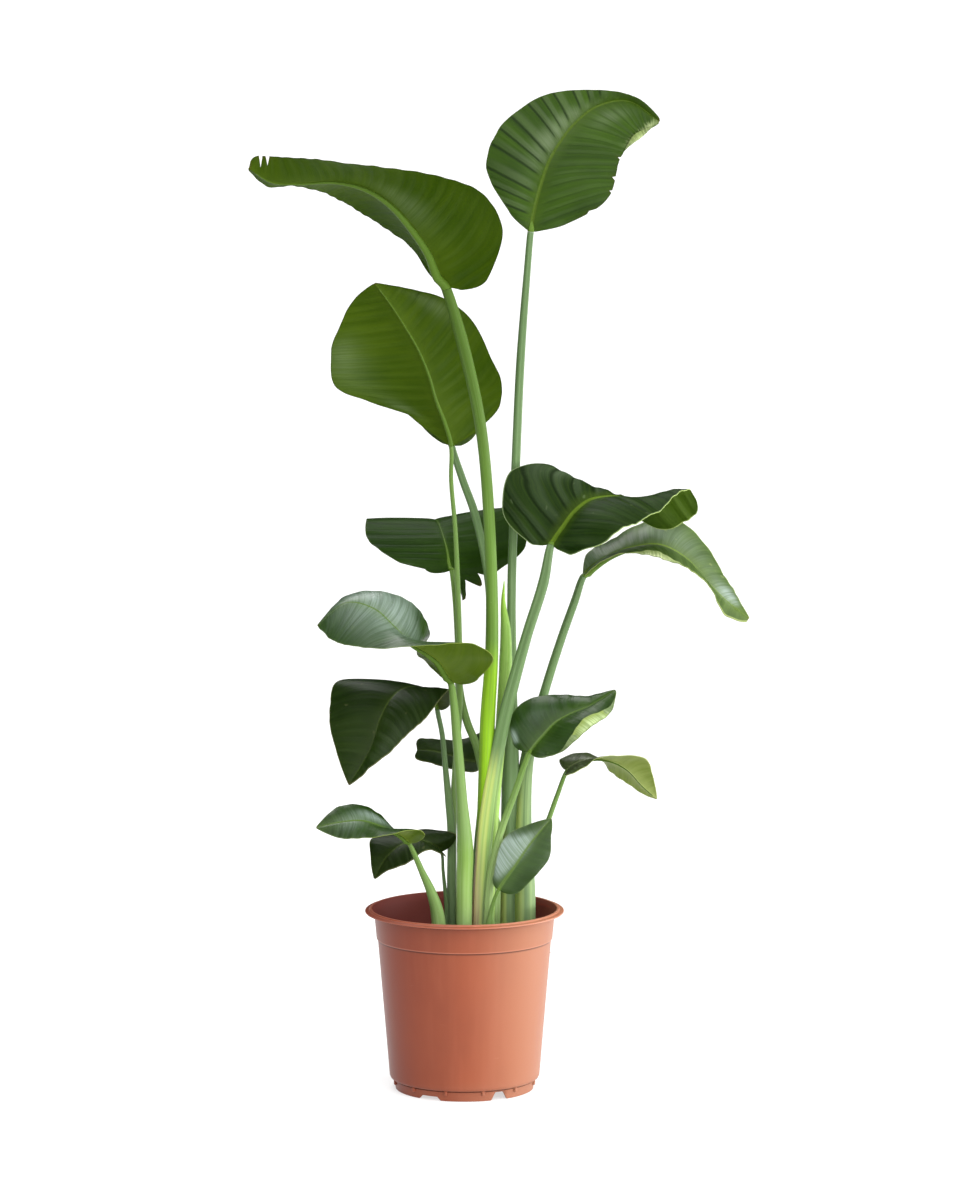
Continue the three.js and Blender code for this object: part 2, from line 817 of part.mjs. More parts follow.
function turned(outline, segments) {
  const lathe = new THREE.LatheGeometry(
    outline.map(([r, z]) => new THREE.Vector2(r, z)),
    segments,
  );
  lathe.rotateX(Math.PI / 2);
  return solidOf(lathe);
}

function upright(radius, height, segments) {
  const post = new THREE.CylinderGeometry(radius, radius, height, segments);
  return post.rotateX(Math.PI / 2);
}

const LIP_FOOT = POT_HEIGHT - LIP_DROP;
const LIP_INSIDE = LIP_RADIUS - LIP_WIDTH;
const FLOOR = RING_HEIGHT - POT_WALL;

function potSolid() {
  const taper = (BODY_TOP_RADIUS - BODY_FOOT_RADIUS) / (COLLAR_FOOT - BODY_FOOT);
  let pot = turned([
    [0, 0],
    [PAD_RADIUS, 0],
    [PAD_RADIUS + POT_WALL, FLOOR],
    [RING_RADIUS - POT_WALL - 2, FLOOR],
    [RING_RADIUS - POT_WALL - 2, 0],
    [RING_RADIUS - 2, 0],
    [RING_RADIUS, RING_HEIGHT],
    [RING_RADIUS + 2, RING_HEIGHT],
    [BODY_FOOT_RADIUS, BODY_FOOT],
    [BODY_TOP_RADIUS, COLLAR_FOOT],
    [COLLAR_FOOT_RADIUS, COLLAR_FOOT],
    [COLLAR_TOP_RADIUS, LIP_FOOT],
    [LIP_RADIUS - 1, LIP_FOOT],
    [LIP_RADIUS, LIP_FOOT + 1],
    [LIP_RADIUS - 1, LIP_FOOT + 2.5],
    [LIP_INSIDE + 4.5, LIP_FOOT + 3],
    [LIP_INSIDE + 3, POT_HEIGHT],
    [LIP_INSIDE, POT_HEIGHT],
    [COLLAR_TOP_RADIUS - POT_WALL, LIP_FOOT - 5],
    [COLLAR_FOOT_RADIUS - POT_WALL, COLLAR_FOOT + 1],
    [BODY_TOP_RADIUS - POT_WALL, COLLAR_FOOT - 1],
    [BODY_FOOT_RADIUS - POT_WALL + taper, BODY_FOOT + 2],
    [RING_RADIUS - 1, FLOOR + POT_WALL],
    [0, FLOOR + POT_WALL],
  ], POT_SEGMENTS);
  for (let i = 0; i < PIN_COUNT; i += 1) {
    const angle = (2 * Math.PI * (i + 0.5)) / PIN_COUNT;
    const pin = upright(PIN_RADIUS, 4, 6);
    const reach = RING_RADIUS + 0.2;
    pin.translate(reach * Math.sin(angle), reach * Math.cos(angle), RING_HEIGHT - 1.5);
    pot = pot.add(solidOf(pin));
  }
  for (let i = 0; i < NOTCH_PAIRS; i += 1) {
    const angle = (2 * Math.PI * i) / NOTCH_PAIRS;
    pot = pot.subtract(notchCutter(DEEP_NOTCH, angle + Math.PI / 6));
    pot = pot.subtract(notchCutter(SHALLOW_NOTCH, angle - Math.PI / 6));
  }
  for (let i = 0; i < DRAIN_COUNT; i += 1) {
    const angle = (2 * Math.PI * i) / DRAIN_COUNT;
    const drain = upright(DRAIN_RADIUS, 20, 12);
    drain.translate(DRAIN_CIRCLE * Math.cos(angle), DRAIN_CIRCLE * Math.sin(angle), FLOOR);
    pot = pot.subtract(solidOf(drain));
  }
  return pot;
}

// The soil fills the pot to below its lip, with a plain hole for every stem.
function soilSolid(holes) {
  const slope = (BODY_TOP_RADIUS - BODY_FOOT_RADIUS) / (COLLAR_FOOT - BODY_FOOT);
  const foot = FLOOR + POT_WALL + GAP;
  const wallAt = (z) => BODY_FOOT_RADIUS - POT_WALL - GAP - 0.2 + slope * (z - BODY_FOOT - 2);
  let soil = turned([
    [0, foot],
    [RING_RADIUS - 2, foot],
    [wallAt(BODY_FOOT + 4), BODY_FOOT + 4],
    [wallAt(SOIL_LEVEL), SOIL_LEVEL],
    [BODY_TOP_RADIUS * 0.6, SOIL_LEVEL + SOIL_DOME * 0.7],
    [0, SOIL_LEVEL + SOIL_DOME],
  ], SOIL_SEGMENTS);
  for (const hole of holes) soil = soil.subtract(hole);
  return soil;
}

const plant = new THREE.Group();
plant.name = "potted_bird_of_paradise";
plant.add(meshOf("pot", potSolid(), POT_LOOK));

// Each stem gives way to the ones nearer the middle of the clump, as sheaths do.
const CLUMP_ORDER = [
  "middle_left",
  "top_left",
  "middle_right",
  "top_right",
  "drooping_right",
  "upper_left",
  "upper_back",
  "middle_back",
  "hanging_left",
  "spear",
  "lower_right",
  "inner_small",
  "small_right",
  "front_low",
  "low_left",
  "low_back",
];

const holes = [];
for (const name of CLUMP_ORDER) {
  const leaf = LEAVES.find((one) => one.name === name);
  let stem = leaf ? stemSolid(leaf, 0) : spearSolid(0);
  for (const hole of holes) stem = stem.subtract(hole);
  const nodeName = leaf ? "stem_" + name : name;
  plant.add(meshOf(nodeName, largestBody(stem), leaf ? STEM_LOOK : SPEAR_LOOK));
  holes.push(leaf ? stemSolid(leaf, GAP) : spearSolid(GAP));
}
plant.add(meshOf("soil", soilSolid(holes), SOIL_LOOK));

for (const leaf of LEAVES) {
  const own = holes[CLUMP_ORDER.indexOf(leaf.name)];
  let blade = bladeSolid(leaf);
  if (blade.intersect(own).volume() > TOUCH) blade = largestBody(blade.subtract(own));
  plant.add(meshOf("blade_" + leaf.name, blade, BLADE_LOOK));
}

export default plant;
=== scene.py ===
import math
import random

import bpy
import numpy as np
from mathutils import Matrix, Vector


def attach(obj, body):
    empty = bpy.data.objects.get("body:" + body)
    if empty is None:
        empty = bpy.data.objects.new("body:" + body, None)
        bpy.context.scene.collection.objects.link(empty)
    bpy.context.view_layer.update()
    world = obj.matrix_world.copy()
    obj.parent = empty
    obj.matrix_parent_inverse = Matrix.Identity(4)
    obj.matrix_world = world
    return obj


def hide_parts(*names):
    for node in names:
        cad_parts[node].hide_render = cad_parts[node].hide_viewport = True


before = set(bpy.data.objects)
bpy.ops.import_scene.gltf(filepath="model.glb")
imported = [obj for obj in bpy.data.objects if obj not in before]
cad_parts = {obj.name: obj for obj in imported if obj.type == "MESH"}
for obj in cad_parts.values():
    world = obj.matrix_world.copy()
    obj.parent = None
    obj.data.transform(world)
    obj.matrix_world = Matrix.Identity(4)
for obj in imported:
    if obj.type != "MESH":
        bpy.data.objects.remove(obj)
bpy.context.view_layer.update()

# A bird of paradise plant in a nursery pot. The leaf rows and the pot's sizes are in millimetres,
# as in the part's source, and become metres where a mesh is made.

MM = 0.001
FINE = 1.0

POT_HEIGHT = 222
LIP_RADIUS = 121
LIP_WIDTH = 9
LIP_FOOT = 217.4
COLLAR_TOP_RADIUS = 110
COLLAR_FOOT_RADIUS = 107
COLLAR_FOOT = 185
BODY_TOP_RADIUS = 105.5
BODY_FOOT_RADIUS = 91.5
BODY_FOOT = 17
RING_RADIUS = 86.5
RING_HEIGHT = 12.4
POT_WALL = 2
POT_FLOOR = 10.4
PAD_RADIUS = 20
DEEP_NOTCH = (22, 11, 9.8)
SHALLOW_NOTCH = (31, 21, 4.6)
SOIL_LEVEL = 168
SOIL_DOME = 3
STEM_FOOT = 125

# How leaves and stalks are made. A share is how far along a blade, from 0 at its foot to 1 at its tip.
STEM_SIDES = 28
STEM_GROOVE = 0.78
GROOVE_ANGLE = 0.42
STRETCH_FADE = 50
RING_SPACING = 4
SPEAR_SIDES = 40
SPEAR_RINGS = 130
SPEAR_TIP = 625
ROLL_FOOT = 284
BLADE_THICKNESS = 0.7
ROW_SPACING = 1.7
COLUMN_SPACING = 2.6
LEAST_HALF_WIDTH = 1
WIDENS_UNTIL = 0.25
NARROWS_FROM = 0.55
TEAR_ROWS = 9
CURL_STEPS = 6
CURL_ACROSS = 6
FLAT_BY_RIB = 12
VEIN_SWEEP = 0.12
VEIN_BEND = 0.22
DRY_TIP_FROM = 0.985
RIB_SIDES = 16
RIB_RINGS = 70
RIB_TAPER = 1.1
RIB_SINKS = 0.08
RIB_COVER = 0.4
RIB_DIP = 0.5
RIB_DIP_WIDTH = 2.2
RIB_END = 0.97
LEAST_RIB = 0.6
FOOT_ROW = 0.008
FOOT_GAP = 0.4

SOIL_RADIUS = 103.0
SOIL_RINGS = 26
SOIL_SIDES = 96
SOIL_FOOT = ((SOIL_RADIUS - 1, 160), (88.5, BODY_FOOT + 4), (84.5, POT_FLOOR + POT_WALL + 0.4))
CRUMBS = 2600
CRUMB_REACH = 101
CRUMB_SIZES = (0.9, 1.3, 1.8, 2.6, 3.4)
BARK_SHARE = 0.35

LEAVES = []


def add_leaf(name, finish, stalk, **rows):
    """Notes a leaf: its name, the kinds of its blade and its stalk, and its rows.

    A stem point is [x, y, z, radius]. A blade row is nine numbers: a point of the midrib, and the ways from
    there to the left margin and to the right margin. tip is where the blade ends.
    pleats is the height of the folds along the side veins on the left and on the right, and how far apart
    they are. belly is how much a half bulges, and wave is the height and the count of the ripples on the
    margins. feet and blunt say whether each half is round at its foot and at its tip. A curl is (side,
    from, to, height, inward), a tear (side, at, depth, half width), and a pale rim (side, from, to, width).
    sweep is how far the side veins lean towards the tip on each half, at the midrib and more at the margin.
    A patch is (share, column, length, width, amount): painted sheen with silvery bloom, or painted shade
    where the amount is below 0. lime, dry, pale and cream are stretches of the stalk: from, to and how
    strongly.
    """
    LEAVES.append({"name": name, "finish": finish, "stalk": stalk, **rows})


# The tallest leaf on the left, seen from below, with its tip twisted over.
add_leaf(
    "top_left", "olive", "bright", pleats=(0.35, 0.5, 14), belly=0.07, wave=(0.8, 2), feet=(True, False),
    blunt=(True, True), tears=[(-1, 0.912, 0.42, 0.009), (-1, 0.945, 0.62, 0.009)],
    patches=[(0.75, 0.5, 0.16, 0.7, 0.4), (0.42, -0.15, 0.14, 0.22, 0.4), (0.3, 0.1, 0.1, 0.1, 0.3)],
    lime=(230, 560, 1.0), dry=(110, 330, 0.6), tip=[-252, -114, 1123],
    stem=[
        [10, -16, STEM_FOOT, 9], [21, -16, 259, 9], [25, -19, 358, 9.2], [28, -25, 456, 9.2],
        [33, -32, 543, 8], [32, -40, 652, 7], [24, -48, 779, 6.8], [15, -53, 840, 7], [-3, -58, 917, 7.5],
        [-21, -62, 978, 6],
    ],
    blade=[
        [-31, -66, 1001, 58, -26, -10, -8, 31, -8], [-40, -70, 1022, 84.5, -35, 28, -19, 70, -2],
        [-63, -78, 1055, 78, -44, 42, -21, 81, -14], [-87, -86, 1081, 37, -62, 38, -25, 75, -22],
        [-116, -94, 1099, 17, -64, 27, -23, 62, -22], [-151, -102, 1107, 11, -53, 23, -14, 49, -15],
        [-192, -108, 1105, 7, -33, 29, -6, 36, -4], [-225, -112, 1106, 1, -10, 30, -6, 22, -5],
    ],
)

# The highest leaf, its tip folded down to the right.
add_leaf(
    "top_right", "ribbed", "grey", pleats=(1.6, 0.7, 16), belly=0.08, wave=(1.6, 4), feet=(False, False),
    blunt=(True, False), curls=[(1, 0.54, 1.02, 5, 9)], pale_rims=[(1, 0.6, 1.06, 9)],
    sweep=[(0.1, 0.0), (0.65, 0.1)],
    tears=[(1, 0.19, 0.05, 0.014), (1, 0.31, 0.04, 0.01), (1, 0.4, 0.06, 0.012), (1, 0.52, 0.05, 0.01)],
    patches=[
        (0.52, -0.22, 0.24, 0.28, 0.55), (0.75, 0.3, 0.12, 0.2, 0.4), (0.9, -0.6, 0.1, 0.4, -0.6),
        (0.15, 0.5, 0.15, 0.6, -0.2),
    ],
    pale=(110, 300, 0.4), cream=(110, 330, 0.6), tip=[238, 140, 1170],
    stem=[
        [55, 25, STEM_FOOT, 11], [54, 26, 239, 11], [55, 28, 313, 11], [56, 30, 399, 10.5],
        [57, 34, 484, 7], [57, 38, 582, 5.4], [58, 42, 643, 5.4], [63, 50, 778, 5.4], [68, 56, 886, 5.2],
        [76, 61, 993, 4.2], [80, 62, 1039, 4],
    ],
    blade=[
        [84, 66, 1064, -30, -14, 1, 41, 10, -14], [93, 72, 1098, -65, -30, 21, 77, 16, -21],
        [102, 80, 1123, -61, -32, 39, 79, 20, -25], [116, 90, 1147, -48, -28, 39, 70, 22, -23],
        [134, 102, 1169, -33, -20, 35, 63, 20, -31], [161, 114, 1189, -11, -8, 19, 48, 14, -41],
        [199, 128, 1195, 5, -2, 6, 23, 6, -38],
    ],
)

# The broad leaf below it, seen from below.
add_leaf(
    "upper_left", "olive", "pale", pleats=(0.3, 0.5, 15), belly=0.07, wave=(1.2, 2), feet=(False, False),
    patches=[
        (0.8, -0.7, 0.12, 0.25, 0.4), (0.45, 0.75, 0.2, 0.3, 0.25), (0.55, 0.9, 0.1, 0.2, 0.25),
        (0.2, 0.7, 0.08, 0.2, 0.3),
    ],
    tip=[-106, -62, 985],
    stem=[
        [-10, 28, STEM_FOOT, 4.5], [-14, 28, 251, 4.5], [-13, 27, 350, 4.2], [-9, 26, 418, 4],
        [-6, 25, 473, 4], [-7, 22, 572, 3.6], [-11, 18, 682, 2.8], [-16, 15, 743, 2.6], [-16, 12, 784, 2.6],
    ],
    blade=[
        [-24, 6, 814, 49, 19, -3, -43, 4, 9], [-34, -2, 841, 78, 27, -1, -80, 2, -1],
        [-43, -12, 873, 85, 27, -6, -111, -3, -14], [-55, -23, 903, 83, 25, -5, -103, -5, -1],
        [-71, -36, 932, 77, 21, 8, -75, -2, 4], [-87, -48, 958, 52, 10, 11, -44, -2, 6],
    ],
)

# The leaf whose blade stands behind the broad one.
add_leaf(
    "upper_back", "olive", "grey", pleats=(0.5, 0.5, 14), belly=0.07, wave=(3, 2), tip=[-89, 122, 953],
    stem=[
        [24, 22, STEM_FOOT, 5.5], [26, 24, 276, 5.5], [27, 26, 362, 5.2], [30, 26, 473, 5],
        [32, 27, 547, 5], [29, 30, 620, 5], [13, 37, 698, 5], [-2, 40, 740, 4.6], [-15, 42, 780, 4],
    ],
    blade=[
        [-21, 50, 806, -39, 10, 12, 37, 12, -1], [-33, 62, 842, -76, 18, 4, 62, 18, -2],
        [-48, 76, 877, -89, 22, 2, 67, 22, 5], [-63, 92, 909, -70, 20, 11, 55, 20, 11],
        [-76, 108, 932, -40, 12, 14, 34, 12, 12],
    ],
)

# The dark leaf that arches backwards, with a torn lobe at its foot.
add_leaf(
    "middle_back", "deep", "pale", pleats=(0.7, 0.7, 15), belly=0.02, wave=(3, 2),
    tears=[(1, 0.22, 0.38, 0.04), (1, 0.29, 0.26, 0.022)], patches=[(0.3, 0.3, 0.3, 0.6, -0.2)],
    tip=[-50, 235, 633],
    stem=[
        [36, 12, STEM_FOOT, 7], [37, 12, 254, 7.5], [39, 10, 310, 7.5], [35, 9, 334, 6], [27, 12, 365, 5.2],
        [14, 20, 419, 4.8], [3, 30, 446, 4.8], [-6, 38, 484, 4.8], [-8, 36, 545, 4], [-11, 33, 595, 3.6],
        [-15, 30, 631, 3.4],
    ],
    blade=[
        [-18, 38, 641, -29, -4, -9, 17, 12, -48], [-21, 52, 654, -57, -7, -15, 59, 18, -29],
        [-26, 75, 669, -89, 5, -6, 99, 20, -18], [-34, 120, 683, -86, 10, -2, 97, 20, 16],
        [-42, 175, 673, -66, 15, -6, 73, 15, -4],
    ],
)

# The saddle-shaped leaf on the right.
add_leaf(
    "middle_right", "folded", "grey", pleats=(2.6, 1.2, 22), belly=0.07, wave=(2.5, 5), blunt=(True, False),
    patches=[(0.6, -0.75, 0.2, 0.3, 0.5), (0.15, -0.6, 0.15, 0.5, -0.3), (0.4, 0.4, 0.2, 0.3, 0.15)],
    lime=(220, 420, 0.35), dry=(110, 345, 1.0), pale=(110, 430, 0.55), cream=(150, 430, 0.85),
    tip=[274, 40, 729],
    stem=[
        [16, -24, STEM_FOOT, 10], [21, -26, 261, 10], [27, -27, 334, 9.5], [36, -27, 396, 8.5],
        [49, -26, 462, 8.2], [75, -23, 558, 6.4], [95, -19, 622, 6.4], [104, -15, 667, 4.6],
    ],
    blade=[
        [109, -10, 675, -32, -8, -4, 20, -20, -16], [120, -2, 689, -73, -3, 17, 33, -40, -21],
        [133, 8, 705, -77, 14, 47, 47, -53, -21], [152, 20, 718, -54, 32, 39, 56, -52, -19],
        [179, 30, 722, -32, 58, 6, 48, -48, -17], [213, 38, 720, 17, 50, -41, 31, -38, -4],
        [247, 41, 727, 28, 27, -37, 16, -19, 3],
    ],
)

# The leaf that droops furthest to the right.
add_leaf(
    "drooping_right", "silver", "grey", pleats=(0.8, 0.8, 15), belly=0.06, wave=(1.5, 3),
    feet=(False, False), blunt=(False, True), curls=[(1, 0.3, 0.62, 5, 8)],
    patches=[
        (0.12, 0.0, 0.16, 1.4, 0.4), (0.5, -0.3, 0.25, 0.6, 0.3), (0.84, -0.35, 0.08, 0.5, 0.8),
        (0.98, -0.5, 0.05, 0.8, -0.6), (0.4, 0.7, 0.15, 0.3, -0.3),
    ],
    pale=(110, 430, 0.5), cream=(110, 380, 0.45), tip=[347, 55, 570],
    stem=[
        [72, 24, STEM_FOOT, 15], [72, 24, 239, 14.5], [70, 26, 313, 12], [76, 30, 399, 8.5],
        [97, 34, 481, 5.6], [118, 37, 548, 5.2], [134, 39, 593, 5], [144, 40, 622, 4.2],
    ],
    blade=[
        [153, 46, 632, -5, 14, 13, 11, -18, 10], [175, 58, 646, -3, 37, 11, 10, -30, 5],
        [204, 70, 655, 5, 52, 21, 9, -40, -4], [239, 78, 657, 22, 47, 24, 4, -44, -11],
        [270, 78, 641, 29, 34, 8, 3, -38, -10], [297, 70, 612, 26, 22, -3, 5, -26, -8],
        [321, 62, 589, 16, 12, -3, -3, -14, -13],
    ],
)

# The glossy leaf on the left, twisted near its foot.
add_leaf(
    "middle_left", "glossy", "pale", pleats=(0.25, 0.35, 9), belly=0.06, wave=(2, 2),
    patches=[(0.72, 0.4, 0.26, 1.1, 0.8), (0.45, 0.85, 0.14, 0.3, -0.9)], lime=(200, 330, 0.3),
    pale=(110, 300, 0.4), tip=[-176, -60, 576],
    stem=[
        [0, -38, STEM_FOOT, 9.5], [0, -38, 251, 9.8], [1, -40, 300, 10.2], [-3, -42, 361, 6.8],
        [-9, -45, 440, 5.8], [-13, -47, 484, 4.8], [-16, -48, 504, 4],
    ],
    blade=[
        [-22, -53, 518, 39, -32, -2, -7, 38, -10], [-33, -61, 534, 66, -29, 6, -13, 56, -7],
        [-47, -67, 545, 53, -41, 15, -10, 67, -8], [-64, -70, 556, 26, -55, 6, 21, 65, -1],
        [-84, -68, 576, -8, -50, -20, 26, 53, 16], [-107, -62, 596, -25, -38, -40, 11, 37, 17],
        [-140, -56, 603, -23, -19, -39, -1, 26, 5],
    ],
)

# The dark leaf that hangs down on the left.
add_leaf(
    "hanging_left", "night", "grey", pleats=(0.35, 0.35, 14), belly=0.06, wave=(2, 2),
    patches=[(0.5, 0.1, 0.4, 0.4, -0.3), (0.7, -0.8, 0.2, 0.3, 0.25)], tip=[-138, -80, 386],
    stem=[
        [-17, 14, STEM_FOOT, 5.5], [-16, 14, 253, 5.5], [-16, 15, 315, 5.2], [-19, 16, 349, 4.6],
        [-23, 17, 390, 3.6], [-27, 17, 432, 3.2], [-33, 15, 464, 3],
    ],
    blade=[
        [-33, 6, 480, 15, -14, -6, -11, 20, 9], [-49, -8, 493, 29, -22, -1, -23, 43, -5],
        [-71, -25, 496, 25, -49, -28, -39, 45, 2], [-88, -42, 485, 16, -44, -39, -64, 47, 13],
        [-101, -57, 462, 8, -34, -39, -61, 42, 13], [-113, -68, 427, -2, -22, -20, -45, 23, 10],
    ],
)

# The upturned leaf low on the right.
add_leaf(
    "lower_right", "glossy", "pale", pleats=(0.5, 0.4, 16), belly=0.07, wave=(2, 2),
    curls=[(1, 0.2, 1.0, 8, 11)],
    patches=[(0.2, -0.85, 0.07, 0.15, 0.9), (0.5, -0.5, 0.2, 0.3, 0.2), (0.4, 0.3, 0.3, 0.3, -0.3)],
    pale=(110, 350, 0.7), tip=[182, -10, 491],
    stem=[
        [26, -38, STEM_FOOT, 5], [30, -38, 251, 5], [36, -38, 291, 4.6], [46, -39, 329, 4.4],
        [62, -40, 373, 4], [71, -40, 400, 3.6], [78, -40, 418, 3.2],
    ],
    blade=[
        [85, -38, 428, -26, 8, 2, 13, -12, -11], [95, -34, 439, -39, 20, 15, 24, -21, -14],
        [109, -28, 453, -38, 23, 22, 36, -27, -7], [127, -22, 463, -23, 30, 18, 35, -26, -3],
        [152, -16, 473, -6, 21, 7, 26, -16, -1],
    ],
)

# A small dark leaf behind the stems.
add_leaf(
    "inner_small", "night", "grey", pleats=(0.3, 0.3, 10), belly=0.06, wave=(1, 2), blunt=(True, True),
    tip=[-58, 55, 408],
    stem=[
        [9, 14, STEM_FOOT, 3.5], [12, 18, 253, 3.5], [15, 34, 299, 3.2], [19, 54, 346, 2.8],
        [18, 70, 388, 2.4],
    ],
    blade=[
        [2, 67, 393, 3, -17, -12, 17, 23, 30], [-18, 63, 400, -8, -21, -10, 7, 27, 13],
        [-39, 58, 406, -10, -13, -11, -7, 17, 13],
    ],
)

# A narrow twisted leaf low on the right.
add_leaf(
    "small_right", "young", "pale", pleats=(0.35, 0.35, 12), belly=0.05, wave=(1, 2),
    patches=[(0.12, 0.0, 0.2, 1.5, -0.3)], tip=[233, -12, 358],
    stem=[
        [77, 43, STEM_FOOT, 4], [79, 42, 246, 4], [90, 30, 292, 3.8], [103, 16, 330, 3.2],
        [112, 14, 356, 3], [124, 10, 388, 2.6],
    ],
    blade=[
        [130, 9, 395, -14, 21, 4, -6, -21, -8], [146, 6, 403, 0, 26, 4, 1, -24, -3],
        [164, 3, 405, 3, 27, -6, -1, -28, 5], [182, -1, 401, -5, 26, -14, 8, -27, 12],
        [199, -5, 391, -6, 20, -15, 19, -23, 19], [215, -9, 374, -2, 12, -10, 12, -11, 15],
    ],
)

# The lowest leaf, leaning on the right-hand shoot.
add_leaf(
    "front_low", "glossy", "pale", pleats=(0.2, 0.2, 8), belly=0.08, wave=(1, 2),
    patches=[(0.4, -0.65, 0.2, 0.5, 1.6), (0.62, -0.25, 0.16, 0.32, 1.0), (0.3, 0.7, 0.2, 0.5, -0.5)],
    tip=[105, -26, 336],
    stem=[
        [31, -51, STEM_FOOT, 6.4], [31.5, -51, 205, 6.8], [32, -53, 224, 3.2], [35, -55.5, 239, 2.4],
        [41, -58, 254, 2],
    ],
    blade=[
        [48, -56, 265, -12, -1, 8, 19, 0, -12], [60, -52, 281, -17, 1, 23, 28, 2, -7],
        [74, -45, 301, -21, 1, 18, 28, 3, -9], [89, -36, 319, -15, 0, 9, 15, 2, -2],
    ],
)

# The low glossy leaf on the left.
add_leaf(
    "low_left", "glossy", "pale", pleats=(0.2, 0.2, 8), belly=0.06, wave=(1, 2),
    patches=[
        (0.55, 0.4, 0.16, 0.3, 0.8), (0.75, -0.1, 0.14, 0.5, 0.5), (0.5, 0.92, 0.15, 0.15, -0.7),
        (0.3, -0.3, 0.12, 0.4, 0.6),
    ],
    pale=(110, 240, 0.5), tip=[-177, -90, 336],
    stem=[
        [-30, -38, STEM_FOOT, 9], [-32, -42, 219, 8.4], [-40, -48, 250, 6], [-51, -54, 276, 4],
        [-66, -62, 311, 2.6],
    ],
    blade=[
        [-72, -66, 319, 24, -19, 7, -8, 26, -1], [-84, -73, 328, 22, -27, 7, -1, 33, -3],
        [-101, -79, 336, 1, -33, -6, 1, 31, 6], [-122, -83, 343, -5, -27, -16, -1, 25, 15],
        [-149, -87, 342, -1, -16, -16, -5, 17, 14],
    ],
)

# The small dark leaf behind it.
add_leaf(
    "low_back", "night", "grey", pleats=(0.3, 0.3, 11), belly=0.06, wave=(1, 2),
    patches=[(0.5, 0.0, 0.5, 1.0, -0.3), (0.2, -0.2, 0.1, 0.2, 0.3)], tip=[-109, -35, 264],
    stem=[
        [-24, 4, STEM_FOOT, 3.2], [-22, 3, 225, 2.8], [-24, 2, 247, 2.4], [-26, 0, 268, 2],
        [-28, -2, 290, 1.8],
    ],
    blade=[
        [-37, -8, 300, 12, -10, -10, 26, 8, 12], [-54, -14, 308, 9, -20, -9, 14, 26, 8],
        [-73, -20, 305, 7, -24, -17, 0, 32, 8], [-91, -28, 293, 4, -18, -15, -21, 26, 14],
        [-102, -32, 278, 2, -8, -7, -11, 10, 10],
    ],
)

SPEAR = [
    [30, -4, STEM_FOOT, 6], [32, -3, 281, 6], [38, -2, 367, 6.5], [45, -2, 453, 7.5], [50, -2, 526, 8.6],
    [50, -2, 563, 7], [47, -2, 597, 3], [48, -2, 622, 0.6],
]

# Curves, as arrays with one row for each point.


def unit(vectors):
    return vectors / np.maximum(np.linalg.norm(vectors, axis=-1, keepdims=True), 1e-9)


def smooth(share):
    share = np.clip(share, 0, 1)
    return share * share * (3 - 2 * share)


def dot(a, b):
    return np.sum(a * b, axis=-1, keepdims=True)


def square_to(vectors, along):
    """The part of vectors that is square to along, of length 1."""
    return unit(vectors - along * dot(vectors, along))


def lengths(points):
    """How far along a row of points each one is."""
    return np.concatenate([[0], np.cumsum(np.linalg.norm(np.diff(points, axis=0), axis=1))])


def triple(a, b, c):
    """Three numbers for each point, as a mesh carries them."""
    return np.stack(np.broadcast_arrays(a, b, c), -1)


def joined(*parts):
    """Grids side by side."""
    return np.concatenate(parts, 1)


def ring_angles(sides):
    return np.linspace(0, 2 * np.pi, sides, endpoint=False)


def through(points, at, centripetal=False):
    """Points of a smooth curve through points, each at a count of points along it."""
    points = np.asarray(points, float)
    ends = np.array([2 * points[0] - points[1], *points, 2 * points[-1] - points[-2]])
    at = np.clip(np.asarray(at, float), 0, len(points) - 1)
    whole = np.minimum(at.astype(int), len(points) - 2)
    part = (at - whole)[:, None]
    a, b, c, d = (ends[whole + k] for k in range(4))
    leave = (c - a) / 2
    reach = (d - b) / 2
    if centripetal:
        first, middle, last = (
            np.sqrt(np.linalg.norm(q - p, axis=1, keepdims=True)) for p, q in ((a, b), (b, c), (c, d))
        )
        leave = ((b - a) / first - (c - a) / (first + middle) + (c - b) / middle) * middle
        reach = ((c - b) / middle - (d - b) / (middle + last) + (d - c) / last) * middle
    square = 3 * (c - b) - 2 * leave - reach
    cube = 2 * (b - c) + leave + reach
    return b + leave * part + square * part**2 + cube * part**3


def headings(points, at):
    """Which way a curve runs, at counts of points along it."""
    ahead = through(points, np.minimum(at + 0.01, len(points) - 1), True)
    behind = through(points, np.maximum(at - 0.01, 0), True)
    return unit(ahead - behind)


def bump(share, start, end):
    """1 halfway from start to end, and 0 at both and beyond."""
    middle, half = (start + end) / 2, (end - start) / 2
    return smooth(1 - np.abs(share - middle) / half)


# Meshes.


